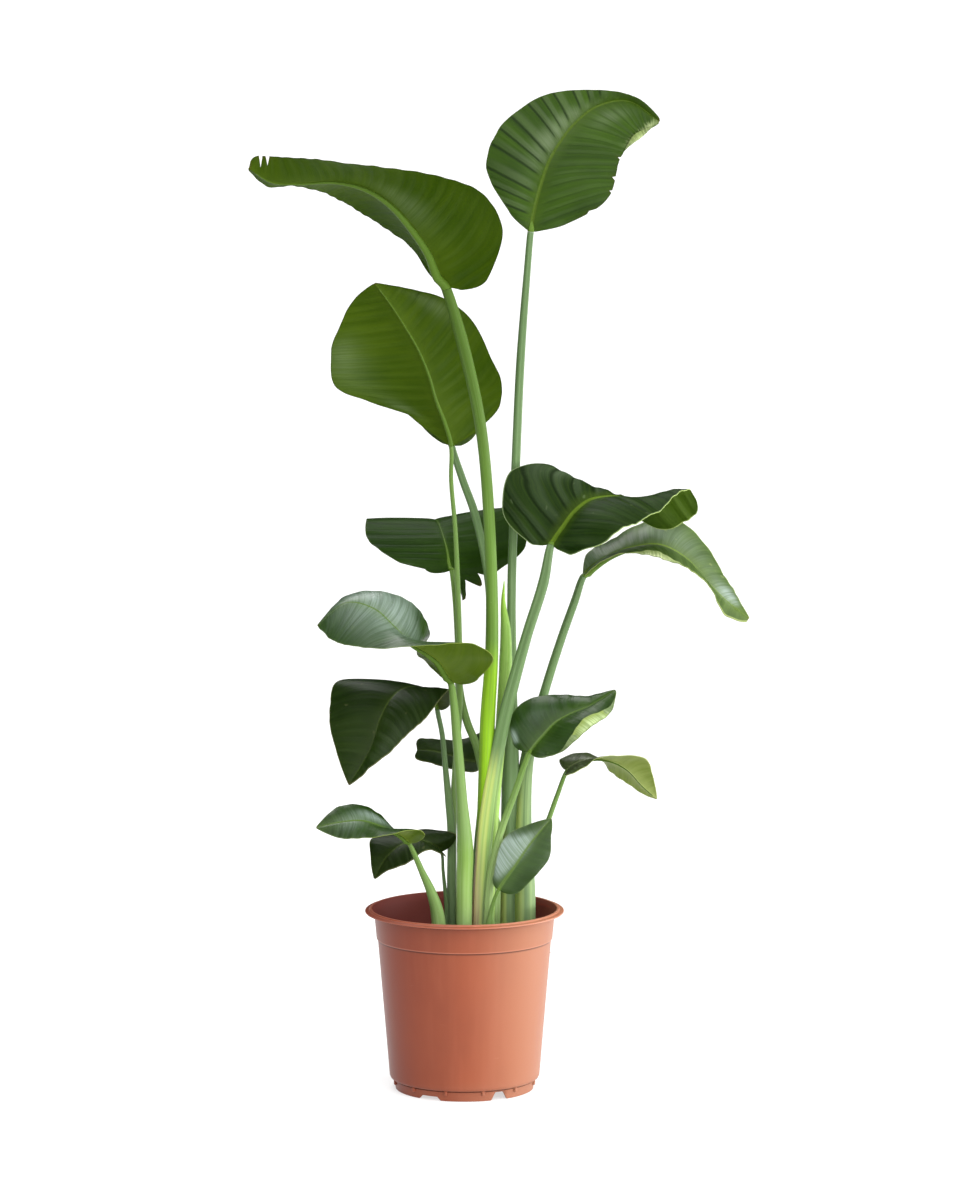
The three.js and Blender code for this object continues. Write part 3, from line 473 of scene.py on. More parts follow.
class Shape:
    """Vertices, faces and what the finishes read from them, gathered before a mesh is made."""

    def __init__(self):
        self.points = []
        self.faces = []
        self.finishes = []
        self.fields = {}
        self.count = 0

    def add(self, points, faces, finish, **fields):
        """Adds points, each with its fields of three numbers, and faces of one finish."""
        points = np.asarray(points, float).reshape(-1, 3)
        self.points.append(points)
        self.faces += [[corner + self.count for corner in face] for face in faces]
        self.finishes += [finish] * len(faces)
        for name, values in fields.items():
            self.fields.setdefault(name, []).append(np.asarray(values, float).reshape(-1, 3))
        self.count += len(points)

    def add_rod(self, finish, centres, reach, up, along, run, **fields):
        """Adds a rod that reaches so far from its centres, round from where up looks, and its two ends."""
        angles = ring_angles(reach.shape[1])
        x, y = np.cos(angles), np.sin(angles)
        ring = up[:, None] * x[None, :, None] + np.cross(up, along)[:, None] * y[None, :, None]
        points = centres[:, None] + ring * reach[..., None]
        spread = {name: np.broadcast_to(values[:, None], points.shape) for name, values in fields.items()}
        faces = flipped(tube_faces(*reach.shape))
        self.add(points, faces, finish, skin=triple(x, y, run[:, None]), **spread)
        return self

    def made(self, name, finishes, crease):
        """The finished object, in metres. Edges sharper than crease degrees aren't smoothed."""
        mesh = bpy.data.meshes.new(name)
        points = np.concatenate(self.points) * MM
        mesh.from_pydata(points.tolist(), [], self.faces)
        for finish in finishes:
            mesh.materials.append(finish)
        mesh.polygons.foreach_set("material_index", self.finishes)
        for field, values in self.fields.items():
            layer = mesh.attributes.new(field, "FLOAT_VECTOR", "POINT")
            layer.data.foreach_set("vector", np.concatenate(values).ravel())
        mesh.polygons.foreach_set("use_smooth", [True] * len(mesh.polygons))
        mesh.set_sharp_from_angle(angle=math.radians(crease))
        mesh.validate()
        made = bpy.data.objects.new(name, mesh)
        bpy.context.scene.collection.objects.link(made)
        return made


def flipped(faces):
    return [face[::-1] for face in faces]


def grid_faces(rows, across, closed=False):
    """Four-sided faces of a grid of points. A closed grid joins its last column to its first."""
    faces = []
    for i in range(rows - 1):
        for j in range(across if closed else across - 1):
            a, b = i * across + j, i * across + (j + 1) % across
            faces.append([a, b, b + across, a + across])
    return faces


def tube_faces(rings, sides):
    """Faces of a tube of rings and of its two ends."""
    last = (rings - 1) * sides
    ends = [list(reversed(range(sides))), list(range(last, last + sides))]
    return grid_faces(rings, sides, closed=True) + ends


def grooved(radii, depth, sides):
    """The reach of a stalk, pulled in by a groove on its upper side."""
    angles = ring_angles(sides)
    hollow = (1 - STEM_GROOVE) * np.exp(-((np.minimum(angles, 2 * np.pi - angles) / GROOVE_ANGLE) ** 2))
    return radii[:, None] * (1 - depth[:, None] * hollow)


# The plant.


class Leaf:
    """One leaf's lines. side is -1 for its left half and 1 for its right half."""

    def __init__(self, rows):
        self.rows = rows
        self.stem = np.array(rows["stem"], float)
        self.blade = np.array(rows["blade"], float).reshape(-1, 3, 3)
        self.axis = np.array([*self.stem[:, :3], *self.blade[:, 0], rows["tip"]], float)
        self.foot = len(self.stem) - 1
        self.last = len(self.axis) - 1
        self.tone = random.Random(rows["name"]).random()
        self.feet_round = rows.get("feet", (True, True))
        self.tips_round = rows.get("blunt", (False, False))

    def on(self, kind, side):
        """The tears, curls or pale rims of one half."""
        return [row[1:] for row in self.rows.get(kind, []) if row[0] == side]

    def width(self, share, side):
        """How wide a half is along its length. Its foot and its tip are wedges or round."""
        foot = 1 - np.minimum(1, share / WIDENS_UNTIL)
        tip = np.maximum(0, (share - NARROWS_FROM) / (1 - NARROWS_FROM))
        widens = (1 - foot * foot) ** (0.5 if self.feet_round[side > 0] else 1)
        return widens * (np.sqrt(1 - tip**4) if self.tips_round[side > 0] else 1 - tip * tip)

    def at(self, share):
        return self.foot + share * (self.last - self.foot)

    def rib(self, share):
        return through(self.axis, self.at(share), True)

    def along(self, share):
        return headings(self.axis, self.at(share))

    def half(self, share, side):
        """From the midrib to a margin, and which way the upper face looks on that side."""
        count = len(self.blade)
        middles = np.arange(1, count + 1) / (count + 1)
        reaches = self.blade[:, 1 if side < 0 else 2] / self.width(middles, side)[:, None]
        out = through(reaches, np.clip(share * (count + 1) - 1, 0, count - 1))
        along = self.along(share)
        out = out * self.width(share, side)[:, None] + square_to(out, along) * LEAST_HALF_WIDTH
        return out, unit(np.cross(out, along) * side)

    def face(self, share):
        return unit(self.half(share, 1)[1] + self.half(share, -1)[1])

    def patch(self, share, column):
        """Painted sheen and silvery bloom, or below 0 painted shade, at shares of the blade's length and
        signed columns.
        """
        patch = np.zeros_like(column)
        for middle, centre, long, wide, amount in self.rows.get("patches", []):
            off = ((share[:, None] - middle) / long) ** 2 + ((column - centre) / wide) ** 2
            patch = patch + amount * np.exp(-off)
        return patch

    def stretch(self, kind, height):
        """How strongly the stalk shows a stretch of another colour at heights up it."""
        low, high, amount = self.rows.get(kind, (0, 1, 0))
        return amount * smooth((height - low) / STRETCH_FADE) * smooth((high - height) / STRETCH_FADE)


def blade_half(leaf, share, side, columns, run):
    """Points across one half of a blade, and what its finish reads there."""
    out, normal = leaf.half(share, side)
    width = np.linalg.norm(out, axis=1)[:, None]
    slant = dot(out, leaf.along(share))
    square = np.sqrt(np.maximum(width**2 - slant**2, 0))
    reach = np.broadcast_to(columns, (len(share), len(columns)))
    for at, depth, half in leaf.on("tears", side):
        torn = depth * np.clip(1 - np.abs(share - at) / half, 0, 1)[:, None]
        reach = np.minimum(reach, (1 - torn) * (0.9 + 0.1 * columns))
    across = width * reach
    margin = width * (1 - reach)
    sweep, bend = leaf.rows.get("sweep", [(VEIN_SWEEP, VEIN_BEND)] * 2)[side > 0]
    vein = run[:, None] + slant * reach - square * reach * (sweep + bend * reach)

    lift = width * leaf.rows["belly"] * 4 * reach * (1 - reach)
    height, count = leaf.rows["wave"]
    ripple = height * np.sin(2 * np.pi * (count * share + 0.25 * side))
    lift = lift + (ripple * leaf.width(share, side))[:, None] * reach**2
    flat_ends = smooth(across / FLAT_BY_RIB) * (1 - 0.5 * reach**3) * smooth((1 - share) / 0.12)[:, None]
    phase = 7 * leaf.tone + side
    pleats, spacing = leaf.rows["pleats"][side > 0], leaf.rows["pleats"][2]
    folds = vein / spacing + 0.16 * np.sin(2.1 * vein / spacing + phase)
    crest = np.abs(np.sin(np.pi * folds)) - 0.6 + 0.1 * np.sin(5.3 * np.pi * folds)
    lift = lift + pleats * crest * flat_ends
    edge = np.sin(0.23 * vein + phase) * np.sin(0.11 * vein + 1) * 0.8 * reach**6
    lift = lift + edge * smooth(width / 30)
    lift = lift - RIB_DIP * np.exp(-((across / RIB_DIP_WIDTH) ** 2))
    points = leaf.rib(share)[:, None] + out[:, None] * reach[..., None]
    points = points + normal[:, None] * lift[..., None]
    back = np.broadcast_to(-normal[:, None], points.shape)

    marks = triple(0, leaf.patch(share, side * reach), folds)
    for start, end, rim in leaf.on("pale_rims", side):
        ragged = rim * (0.75 + 0.25 * np.sin(0.9 * vein) * np.sin(0.37 * vein + 1))
        marks[..., 0] = bump(share, start, end)[:, None] * smooth(1.5 - margin / ragged)
    for start, end, height, inward in leaf.on("curls", side):
        curled = bump(share, start, end)[:, None, None]
        outward = unit(out)[:, None]
        turn = np.linspace(0, 1, CURL_STEPS + 1)[None, 1:, None]
        swing = outward * ((1 - curled) * turn + curled * (2.5 * np.sin(np.pi * turn) - inward * turn))
        points = joined(points, points[:, -1:] + swing + normal[:, None] * curled * height * turn**1.3)
        upright = curled * turn**0.3
        back = joined(back, unit(-normal[:, None] * (1 - upright) + outward * curled * turn**0.3))
        curled, turn = curled[..., 0], turn[..., 0]
        across = joined(across, np.repeat(across[:, -1:] + CURL_ACROSS, CURL_STEPS, 1))
        vein = joined(vein, np.repeat(vein[:, -1:], CURL_STEPS, 1))
        margin = joined(margin + height * curled, (height * curled + 1) * (1 - turn))
        turned = np.repeat(marks[:, -1:], CURL_STEPS, 1)
        turned[..., 0] = curled * smooth(turn * 3)
        marks = joined(marks, turned)
    return points, back, across * side, vein, margin, marks


def blade_rim(rows, columns):
    """Faces that close the upper and the under face of a blade along their edges."""
    total = rows * columns
    rim = []
    for i in range(rows - 1):
        a, b = i * columns, (i + 1) * columns
        rim.append([a + total, a, b, b + total])
        a, b = a + columns - 1, b + columns - 1
        rim.append([a, a + total, b + total, b])
    for j in range(columns - 1):
        k = total - columns + j
        rim.append([j + total, j + 1 + total, j + 1, j])
        rim.append([k, k + 1, k + 1 + total, k + total])
    return rim


def add_midrib(shape, leaf, span):
    """The raised midrib under a blade. It goes on from the stalk and thins out towards the tip."""
    share = np.linspace(0, RIB_END, int(RIB_RINGS * FINE)) ** 1.2
    radius = np.maximum(leaf.stem[-1, 3] * (1 - share) ** RIB_TAPER, LEAST_RIB)
    face = leaf.face(np.maximum(share, 1e-4))
    sunk = (radius + RIB_COVER) * smooth(share / RIB_SINKS)
    centres = leaf.rib(share) - face * sunk[:, None]
    centres[0] += leaf.along(np.zeros(1))[0] * FOOT_GAP
    reach = grooved(radius, smooth(1 - share / 0.1), RIB_SIDES)
    shape.add_rod(
        2, centres, reach, face, leaf.along(share), lengths(centres) * MM, marks=triple(0 * share, 0, 0),
        lines=triple(share * span * MM, 0, 0.02), about=triple(share, leaf.tone, 0),
    )


def leaf_blade(leaf):
    """Upper and under faces a little apart, closed at the margins, and the midrib under them."""
    span = np.linalg.norm(np.diff(leaf.axis[leaf.foot:], axis=0), axis=1).sum()
    tears = leaf.rows.get("tears", [])
    share = np.linspace(FOOT_ROW, 1, int(max(40, span / ROW_SPACING) * FINE))
    for _, at, _, half in tears:
        share = np.concatenate([share, at + half * np.linspace(-1, 1, TEAR_ROWS)])
    share = np.sort(share)
    centres = leaf.rib(share)
    run = lengths(centres)
    half_widths = {side: np.linalg.norm(leaf.half(share, side)[0], axis=1) for side in (-1, 1)}
    widest = max(widths.max() for widths in half_widths.values())
    columns = np.linspace(0, 1, int(max(10, widest / COLUMN_SPACING) * FINE) + 1)[1:] ** 1.15
    face = leaf.face(share)[:, None]
    nothing = np.zeros((len(share), 1))
    marks = triple(0, leaf.patch(share, nothing), nothing)
    lowered = centres[:, None] - face * RIB_DIP
    middle = (lowered, -face, nothing, run[:, None], half_widths[1][:, None], marks)
    left, right = (blade_half(leaf, share, side, columns, run) for side in (-1, 1))
    points, back, across, vein, margin, marks = (
        joined(one[:, ::-1], centre, two) for one, centre, two in zip(left, middle, right)
    )
    place = share[:, None]
    brown = 0.5 * np.clip((np.broadcast_to(place, vein.shape) - DRY_TIP_FROM) / 0.014, 0, 1)
    for side, at, depth, half in tears:
        beside = min(1, 5 * depth) * np.exp(-(((share - at) / (1.6 * half)) ** 2))[:, None]
        brown = np.maximum(brown, beside * (across * side > 0) * np.exp(-margin / 3))
    facts = {
        "lines": triple(vein * MM, across * MM, margin * MM), "about": triple(place, leaf.tone, brown),
        "marks": marks, "skin": np.zeros(points.shape),
    }
    shape = Shape()
    faces = grid_faces(*vein.shape)
    rim = blade_rim(*vein.shape)
    shape.add(points, faces, 0, **facts)
    shape.add(points + back * BLADE_THICKNESS, flipped(faces), 1, **facts)
    shape.faces += rim
    shape.finishes += [1] * len(rim)
    add_midrib(shape, leaf, span)
    return shape


def leaf_stem(leaf):
    """The stalk of one leaf, from its foot in the soil to its blade."""
    length = leaf.stem[-1, 2] - leaf.stem[0, 2]
    at = np.linspace(0, leaf.foot, int(max(30, length / RING_SPACING) * FINE))
    along = headings(leaf.axis, at)
    up = square_to(leaf.face(np.array([1e-4])), along)
    radii = np.interp(at, np.arange(len(leaf.stem)), leaf.stem[:, 3])
    centres = through(leaf.axis, at, True)
    height = centres[:, 2]
    lime, dry, pale, cream = (leaf.stretch(kind, height) for kind in ("lime", "dry", "pale", "cream"))
    return Shape().add_rod(
        0, centres, grooved(radii, np.ones(len(at)), STEM_SIDES), up, along, lengths(centres) * MM,
        about=triple(at / leaf.foot, leaf.tone, lime), marks=triple(dry, pale, cream),
    )


def rolled_spear():
    """The youngest leaf: a pointed roll with the free margin winding up it."""
    points = np.array(SPEAR, float)
    last = len(points) - 1
    at = np.linspace(0, last, int(SPEAR_RINGS * FINE))
    centres = through(points[:, :3], at, True)
    along = headings(points[:, :3], at)
    radii = np.interp(at, np.arange(last + 1), points[:, 3])
    height = centres[:, 2]
    turn = 2.2 + 0.012 * (height - ROLL_FOOT)
    behind = (ring_angles(SPEAR_SIDES) - turn[:, None]) % (2 * np.pi) / (2 * np.pi)
    rolled = smooth((height - ROLL_FOOT - 46) / 120)[:, None]
    share = (height - STEM_FOOT) / (SPEAR_TIP - STEM_FOOT)
    reach = radii[:, None] * (1 - 0.16 * rolled * behind)
    up = square_to(np.array([[0.0, -1.0, 0.0]]), along)
    return Shape().add_rod(
        0, centres, reach, up, along, height * MM, about=triple(share, 0.5, smooth((height - 560) / 60)),
        marks=triple(0 * share, 0, 0),
    )


# The pot and its soil. What the pot's finish reads: whether a place is inside, darkened as painted shade;
# a rubbed edge, paler partly as wear and partly as a painted highlight; or a corner, darkened as painted
# shade.
PLAIN = (0.0, 0.0, 0.0)
# Marks the inside, which the finish darkens as painted shade.
INSIDE = (1.0, 0.0, 0.0)
# Marks rubbed edges, which the finish makes paler, partly as wear and partly as a painted highlight.
RUBBED_AND_HIGHLIT = (0.0, 0.5, 0.0)
# Marks corners and grooves, which the finish darkens as painted shade.
SHADED_CORNER = (0.0, 0.0, 1.0)
IN_RING = RING_RADIUS - POT_WALL - 2

# The pot's outline, up the outside and down the inside: a radius and a height, and steps around that
# corner as (outwards, upwards) and what is seen there unless it is plain.
OUTLINE = [
    (PAD_RADIUS, 0, [(-1, 0), (0, 0.6)]),
    (PAD_RADIUS + POT_WALL, POT_FLOOR, [(0, -0.6), (1, 0)]),
    (IN_RING, POT_FLOOR, [(-0.8, 0), (0, -0.8)]),
    (IN_RING, 0, [(0, 0.5), (0.5, 0)]),
    (RING_RADIUS, 0, [(-2.5, 0), (-2, 0.5)]),
    (RING_RADIUS, RING_HEIGHT, [(0, -1), (-0.6, -0.4, SHADED_CORNER), (-0.6, 0.4, SHADED_CORNER), (0.6, 0.9, SHADED_CORNER)]),
    (RING_RADIUS, RING_HEIGHT, [(2.8, 1), (3.8, 1.8)]),
    (BODY_FOOT_RADIUS, BODY_FOOT, [(-0.3, -0.8), (0, 0.8)]),
    (BODY_TOP_RADIUS, COLLAR_FOOT, [(-0.1, -2.6), (0, -0.6, SHADED_CORNER), (0.4, -0.1, SHADED_CORNER)]),
    (COLLAR_FOOT_RADIUS, COLLAR_FOOT, [(-0.5, 0), (0, 0.5, RUBBED_AND_HIGHLIT), (0.2, 2)]),
    (COLLAR_TOP_RADIUS, LIP_FOOT, [(-0.3, -3.4), (0, -1.2, SHADED_CORNER), (0.5, -0.4, SHADED_CORNER), (1.6, 0)]),
    (LIP_RADIUS, LIP_FOOT, [(-0.9, 0), (-0.2, 0.4), (0, 1.1, RUBBED_AND_HIGHLIT), (-0.2, 1.9)]),
    (LIP_RADIUS, LIP_FOOT, [(-0.9, 2.5), (-4.2, 3), (-4.9, 3.2, RUBBED_AND_HIGHLIT)]),
    (LIP_RADIUS, POT_HEIGHT, [(-5.5, -0.5), (-6.1, 0, RUBBED_AND_HIGHLIT)]),
    (LIP_RADIUS - LIP_WIDTH, POT_HEIGHT, [(0.6, -0.1), (0, -0.8, INSIDE)]),
    (COLLAR_TOP_RADIUS - POT_WALL, LIP_FOOT, [(0, -5, INSIDE)]),
    (COLLAR_FOOT_RADIUS - POT_WALL, COLLAR_FOOT, [(0, 1, INSIDE)]),
    (BODY_TOP_RADIUS - POT_WALL, COLLAR_FOOT, [(0, -1, INSIDE)]),
    (BODY_FOOT_RADIUS, BODY_FOOT, [(-POT_WALL, 2, INSIDE), (-5, -1.5, INSIDE)]),
    (RING_RADIUS, POT_FLOOR, [(-4, POT_WALL, INSIDE)]),
]
PINS = 12
PIN_OUTLINE = ((-5.0, 1.2), (-4.4, 2.0), (0.4, 2.3), (1.0, 1.6))
PIN_SIDES = 12


def notch_height(angle):
    """How high the foot ring's edge stands above the ground at an angle round the pot."""
    height = 0.0
    for i in range(3):
        for notch, offset in ((DEEP_NOTCH, math.pi / 6), (SHALLOW_NOTCH, -math.pi / 6)):
            foot, top, tall = notch
            middle = -math.pi / 2 + offset + 2 * math.pi * i / 3
            off = abs((angle - middle + math.pi) % (2 * math.pi) - math.pi) * RING_RADIUS
            height = max(height, tall * min(1, max(0, (foot / 2 - off) / (foot / 2 - top / 2))))
    return height


def circle(radius, height, sides, x=0.0, y=0.0):
    angles = [math.tau * k / sides for k in range(sides)]
    return [(x + radius * math.cos(angle), y + radius * math.sin(angle), height) for angle in angles]


def nursery_pot():
    """The pot, turned from its outline, with the notches cut up into the foot ring."""
    sides = int(360 * FINE)
    lifted = [notch_height(math.tau * k / sides) for k in range(sides)]
    shape = Shape()
    points = []
    facts = []
    for radius, height, steps in OUTLINE:
        for outwards, upwards, *seen in steps:
            ring = circle(radius + outwards, height + upwards, sides)
            if IN_RING - 0.1 <= radius + outwards <= RING_RADIUS and height + upwards < 1:
                ring = [(x, y, z + notch) for (x, y, z), notch in zip(ring, lifted)]
            points += ring
            facts += (seen or [PLAIN]) * sides
    shape.add(points, tube_faces(len(points) // sides, sides), 0, about=facts)
    for i in range(PINS):
        angle = math.radians(360 / PINS * (i + 0.5))
        spot = Vector((math.cos(angle), math.sin(angle), 0)) * (RING_RADIUS + 0.3)
        pin = []
        for height, radius in PIN_OUTLINE:
            pin += circle(radius, RING_HEIGHT + height, PIN_SIDES, spot.x, spot.y)
        shape.add(pin, tube_faces(len(PIN_OUTLINE), PIN_SIDES), 0, about=[PLAIN] * len(pin))
    return shape


def soil_height(x, y):
    """The uneven top of the potting mix."""
    dome = SOIL_DOME * (1 - math.hypot(x, y) / BODY_TOP_RADIUS)
    rough = math.sin(0.09 * x + 1) * math.cos(0.11 * y)
    rough += 0.5 * math.sin(0.31 * x - 0.22 * y) * math.sin(0.27 * y + 2)
    return SOIL_LEVEL - 1.5 + dome + 0.9 * rough


def loose_crumb(draw, shape):
    """A loose crumb: six corners round a spot on the soil, of bark where a draw says so."""
    radius, angle = CRUMB_REACH * math.sqrt(draw.random()), draw.uniform(0, math.tau)
    x, y = radius * math.cos(angle), radius * math.sin(angle)
    size = draw.choice(CRUMB_SIZES)
    long, wide, turn = size * draw.uniform(1, 1.8), size * draw.uniform(0.5, 0.9), draw.uniform(0, math.tau)
    across, beside = math.cos(turn), math.sin(turn)
    level = soil_height(x, y) + 0.3 * size
    points = []
    for a, b, c in ((1, 0, 0), (0, 1, 0), (-1, 0, 0), (0, -1, 0), (0, 0, 1), (0, 0, -1)):
        p = a * long * draw.uniform(0.7, 1.1)
        q = b * wide * draw.uniform(0.7, 1.1)
        tilt = 0.3 * a * draw.uniform(-size, size)
        z = level + c * 0.6 * size + tilt
        points.append((x + p * across - q * beside, y + p * beside + q * across, z))
    faces = [(0, 1, 4), (1, 2, 4), (2, 3, 4), (3, 0, 4), (1, 0, 5), (2, 1, 5), (3, 2, 5), (0, 3, 5)]
    shape.add(points, faces, 1 if draw.random() < BARK_SHARE else 0)


def potting_mix():
    """The soil and the loose crumbs of bark and peat on it."""
    shape = Shape()
    draw = random.Random(7)
    points = []
    for i in range(1, SOIL_RINGS + 1):
        for x, y, _ in circle(SOIL_RADIUS * i / SOIL_RINGS, 0, SOIL_SIDES):
            points.append((x, y, soil_height(x, y) + draw.uniform(-0.6, 0.6)))
    for radius, height in SOIL_FOOT:
        points += circle(radius, height, SOIL_SIDES)
    shape.add(points, flipped(tube_faces(len(points) // SOIL_SIDES, SOIL_SIDES)), 0)
    for _ in range(int(CRUMBS * FINE)):
        loose_crumb(draw, shape)
    return shape


# Finishes.


def colour(red, green, blue):
    """A colour read off a screen, as the light it stands for."""
    def light(level):
        level /= 255
        return level / 12.92 if level <= 0.04045 else ((level + 0.055) / 1.055) ** 2.4
    return (light(red), light(green), light(blue), 1.0)


class Wire:
    """A socket of a finish. Arithmetic on it adds Math nodes."""

    def __init__(self, finish, socket):
        self.finish = finish
        self.socket = socket

    def maths(self, operation, *values):
        return self.finish.node("ShaderNodeMath", {"operation": operation}, dict(enumerate(values)))

    def __add__(self, other):
        return self.maths("ADD", self, other)

    __radd__ = __add__

    def __sub__(self, other):
        return self.maths("SUBTRACT", self, other)

    def __rsub__(self, other):
        return self.maths("SUBTRACT", other, self)

    def __mul__(self, other):
        return self.maths("MULTIPLY", self, other)

    __rmul__ = __mul__

    def __abs__(self):
        return self.maths("ABSOLUTE", self)

    def sine(self):
        return self.maths("SINE", self)

    def between(self, low, high):
        """0 below low, 1 above high and a smooth step from one to the other."""
        settings = {"interpolation_type": "SMOOTHSTEP"}
        return self.finish.node("ShaderNodeMapRange", settings, {0: self, 1: low, 2: high})


class Finish:
    """A material and the nodes in it, or the nodes of the world."""

    def __init__(self, name, tree=None):
        if tree is None:
            self.material = bpy.data.materials.new(name)
            self.material.use_nodes = True
            tree = self.material.node_tree
        self.tree = tree
        self.tree.nodes.clear()

    def node(self, kind, settings=None, inputs=None, out=0):
        """Adds a node and gives its output, unless out is None."""
        made = self.tree.nodes.new(kind)
        for name, value in (settings or {}).items():
            setattr(made, name, value)
        for name, value in (inputs or {}).items():
            if isinstance(value, Wire):
                self.tree.links.new(value.socket, made.inputs[name])
            else:
                made.inputs[name].default_value = value
        return None if out is None else Wire(self, made.outputs[out])

    def parts(self, vector):
        """The three numbers of a vector."""
        return [self.node("ShaderNodeSeparateXYZ", {}, {0: vector}, out) for out in range(3)]

    def field(self, name):
        """The three numbers that a mesh carries under a name."""
        return self.parts(self.node("ShaderNodeAttribute", {"attribute_name": name}, out=1))

    def place(self):
        """Where a point is on its object."""
        return self.node("ShaderNodeTexCoord", {}, {}, "Object")

    def noise(self, where, scale, detail=3.0, rough=0.5):
        inputs = {"Vector": where, "Scale": scale, "Detail": detail, "Roughness": rough}
        return self.node("ShaderNodeTexNoise", {}, inputs)

    def grain(self, x, y, z, detail=3.0, rough=0.5):
        """Noise that is stretched by its three coordinates."""
        return self.noise(self.node("ShaderNodeCombineXYZ", {}, {0: x, 1: y, 2: z}), 1.0, detail, rough)

    def mix(self, share, a, b):
        return self.node("ShaderNodeMix", {"data_type": "RGBA"}, {0: share, 6: a, 7: b}, 2)

    def layers(self, shade, *layers):
        """A shade under layers of other colours, each with how much of it shows."""
        for amount, over in layers:
            shade = self.mix(amount, shade, over)
        return shade

    def relief(self, height, depth, strength):
        return self.node("ShaderNodeBump", {}, {"Height": height, "Distance": depth, "Strength": strength})

    def skin(self, shade, roughness, shine, **inputs):
        """A principled surface. Underscores in the names of its other inputs stand for spaces."""
        inputs = {name.replace("_", " "): value for name, value in inputs.items()}
        inputs.update({"Base Color": shade, "Roughness": roughness, "Specular IOR Level": shine})
        return self.node("ShaderNodeBsdfPrincipled", {}, inputs)

    def surface(self, shader):
        self.node("ShaderNodeOutputMaterial", {}, {0: shader}, None)
        return self.material


VEINS_APART = 0.0052
BACKLIT = colour(112, 165, 14)
DRY_TIP = colour(84, 58, 30)
LIME = colour(122, 164, 28)
# How far to the right the dry edge of the sheath in the middle of the clump reaches, in metres.
SHEATH_EDGE = 0.012
PALE_SHEATH = colour(150, 174, 112)
CREAM_SHEATH = colour(190, 200, 112)
DRY_SHEATH = colour(176, 160, 122)
DRY_STREAK = colour(134, 92, 80)


def leaf_face(name, pale, shades, numbers):
    """The skin of a blade: fine side veins, creases with painted shade and a painted highlight on one flank
    of each fold, painted sheen with silvery bloom, stretches of painted shade, a midrib and a margin.
    """
    f = Finish(name)
    pale, deep, light, rib, margin, silver = (colour(*screen) for screen in (pale, *shades))
    gloss, shine, veins, fold_light_and_shade, rib_half, rim = numbers
    vein, across, edge = f.field("lines")
    share, tone, brown = f.field("about")
    curl, patch, folds = f.field("marks")
    shadow = tuple(0.4 * level for level in deep[:3]) + (1.0,)
    beside = abs(across)
    fine = f.grain(vein * 620, beside * 14, tone * 9, 2.0)
    coarse = f.grain(vein * 130, beside * 9, tone * 5 + 3)
    blotch = f.grain(vein * 16, across * 16, tone * 20, 4.0)
    ridge = 1 - abs((vein * (math.pi / VEINS_APART) + coarse * 2.2).sine())
    fold = abs((folds * math.pi).sine())
    # Painted shade in the valley of each fold.
    crease = (1 - fold.between(0.0, 0.42)) * beside.between(0.003, 0.016)
    crest = fold.between(0.3, 1.0)
    right_half = across.between(-0.002, 0.002)
    # A painted highlight on one flank of each fold.
    lit_flank = (folds * math.tau).sine().between(-0.3, 0.9) * beside.between(0.003, 0.02)
    lit_flank = lit_flank * (1 - beside.between(0.03, 0.1) * 0.7) * (1 - right_half * 0.65)
    streaks = fine.between(0.38, 0.62)
    # Painted sheen where a patch is above 0, partly silvery bloom, streaked and brighter on fold crests.
    painted_sheen_and_bloom = patch.between(0.0, 1.0) * (0.48 + (0.45 * fold_light_and_shade) * crest + 0.36 * streaks)
    near_rib = 1 - (beside - (0.0012 + (1 - share) * rib_half)).between(-0.0008, 0.0004)
    speck = f.grain(vein * 90, across * 90, tone * 31, 1.0)
    shade = f.layers(
        f.mix(coarse.between(0.3, 0.7) * 0.5 + blotch.between(0.35, 0.7) * 0.5, deep, light),
        (fine.between(0.35, 0.75) * (0.16 * veins), rib),
        (ridge.between(0.8, 1.0) * (0.14 * veins), rib),
        # Painted sheen, partly silvery bloom.
        (painted_sheen_and_bloom, silver),
        # Painted shade where a patch is below 0.
        ((0 - patch).between(0.05, 1.0) * 0.9, shadow),
        # Painted highlight on one flank of each fold.
        (lit_flank * (0.24 * fold_light_and_shade), silver),
        # Painted shade in the creases.
        (crease * fold_light_and_shade * (1 - right_half * 0.6), shadow),
        ((1 - beside.between(0.002, 0.016)) * 0.2, rib),
        (near_rib * (1 - share.between(0.75, 1.0) * 0.6) * (1 - painted_sheen_and_bloom * 0.5), rib),
        ((1 - edge.between(0.0005, 0.0016)) * rim, margin),
        (curl * (0.5 + 0.5 * streaks), pale),
        (curl * (1 - edge.between(0.0, 0.0045)) * 0.7, rib),
        (brown * (0.5 + 0.5 * blotch), DRY_TIP),
        (speck.between(0.72, 0.78) * 0.25, margin),
    )
    roughness = gloss + (coarse - 0.5) * 0.14 + (blotch - 0.5) * 0.16 + brown * 0.25
    height = fine * 0.35 + ridge.between(0.3, 1.0) * 0.5 + coarse * 0.8
    skin = f.skin(shade, roughness, shine, Normal=f.relief(height, 0.0005, 0.5 * veins), IOR=1.45)
    through_light = f.node("ShaderNodeBsdfTranslucent", {}, {"Color": BACKLIT})
    return f.surface(f.node("ShaderNodeMixShader", {}, {0: 0.2, 1: skin, 2: through_light}))


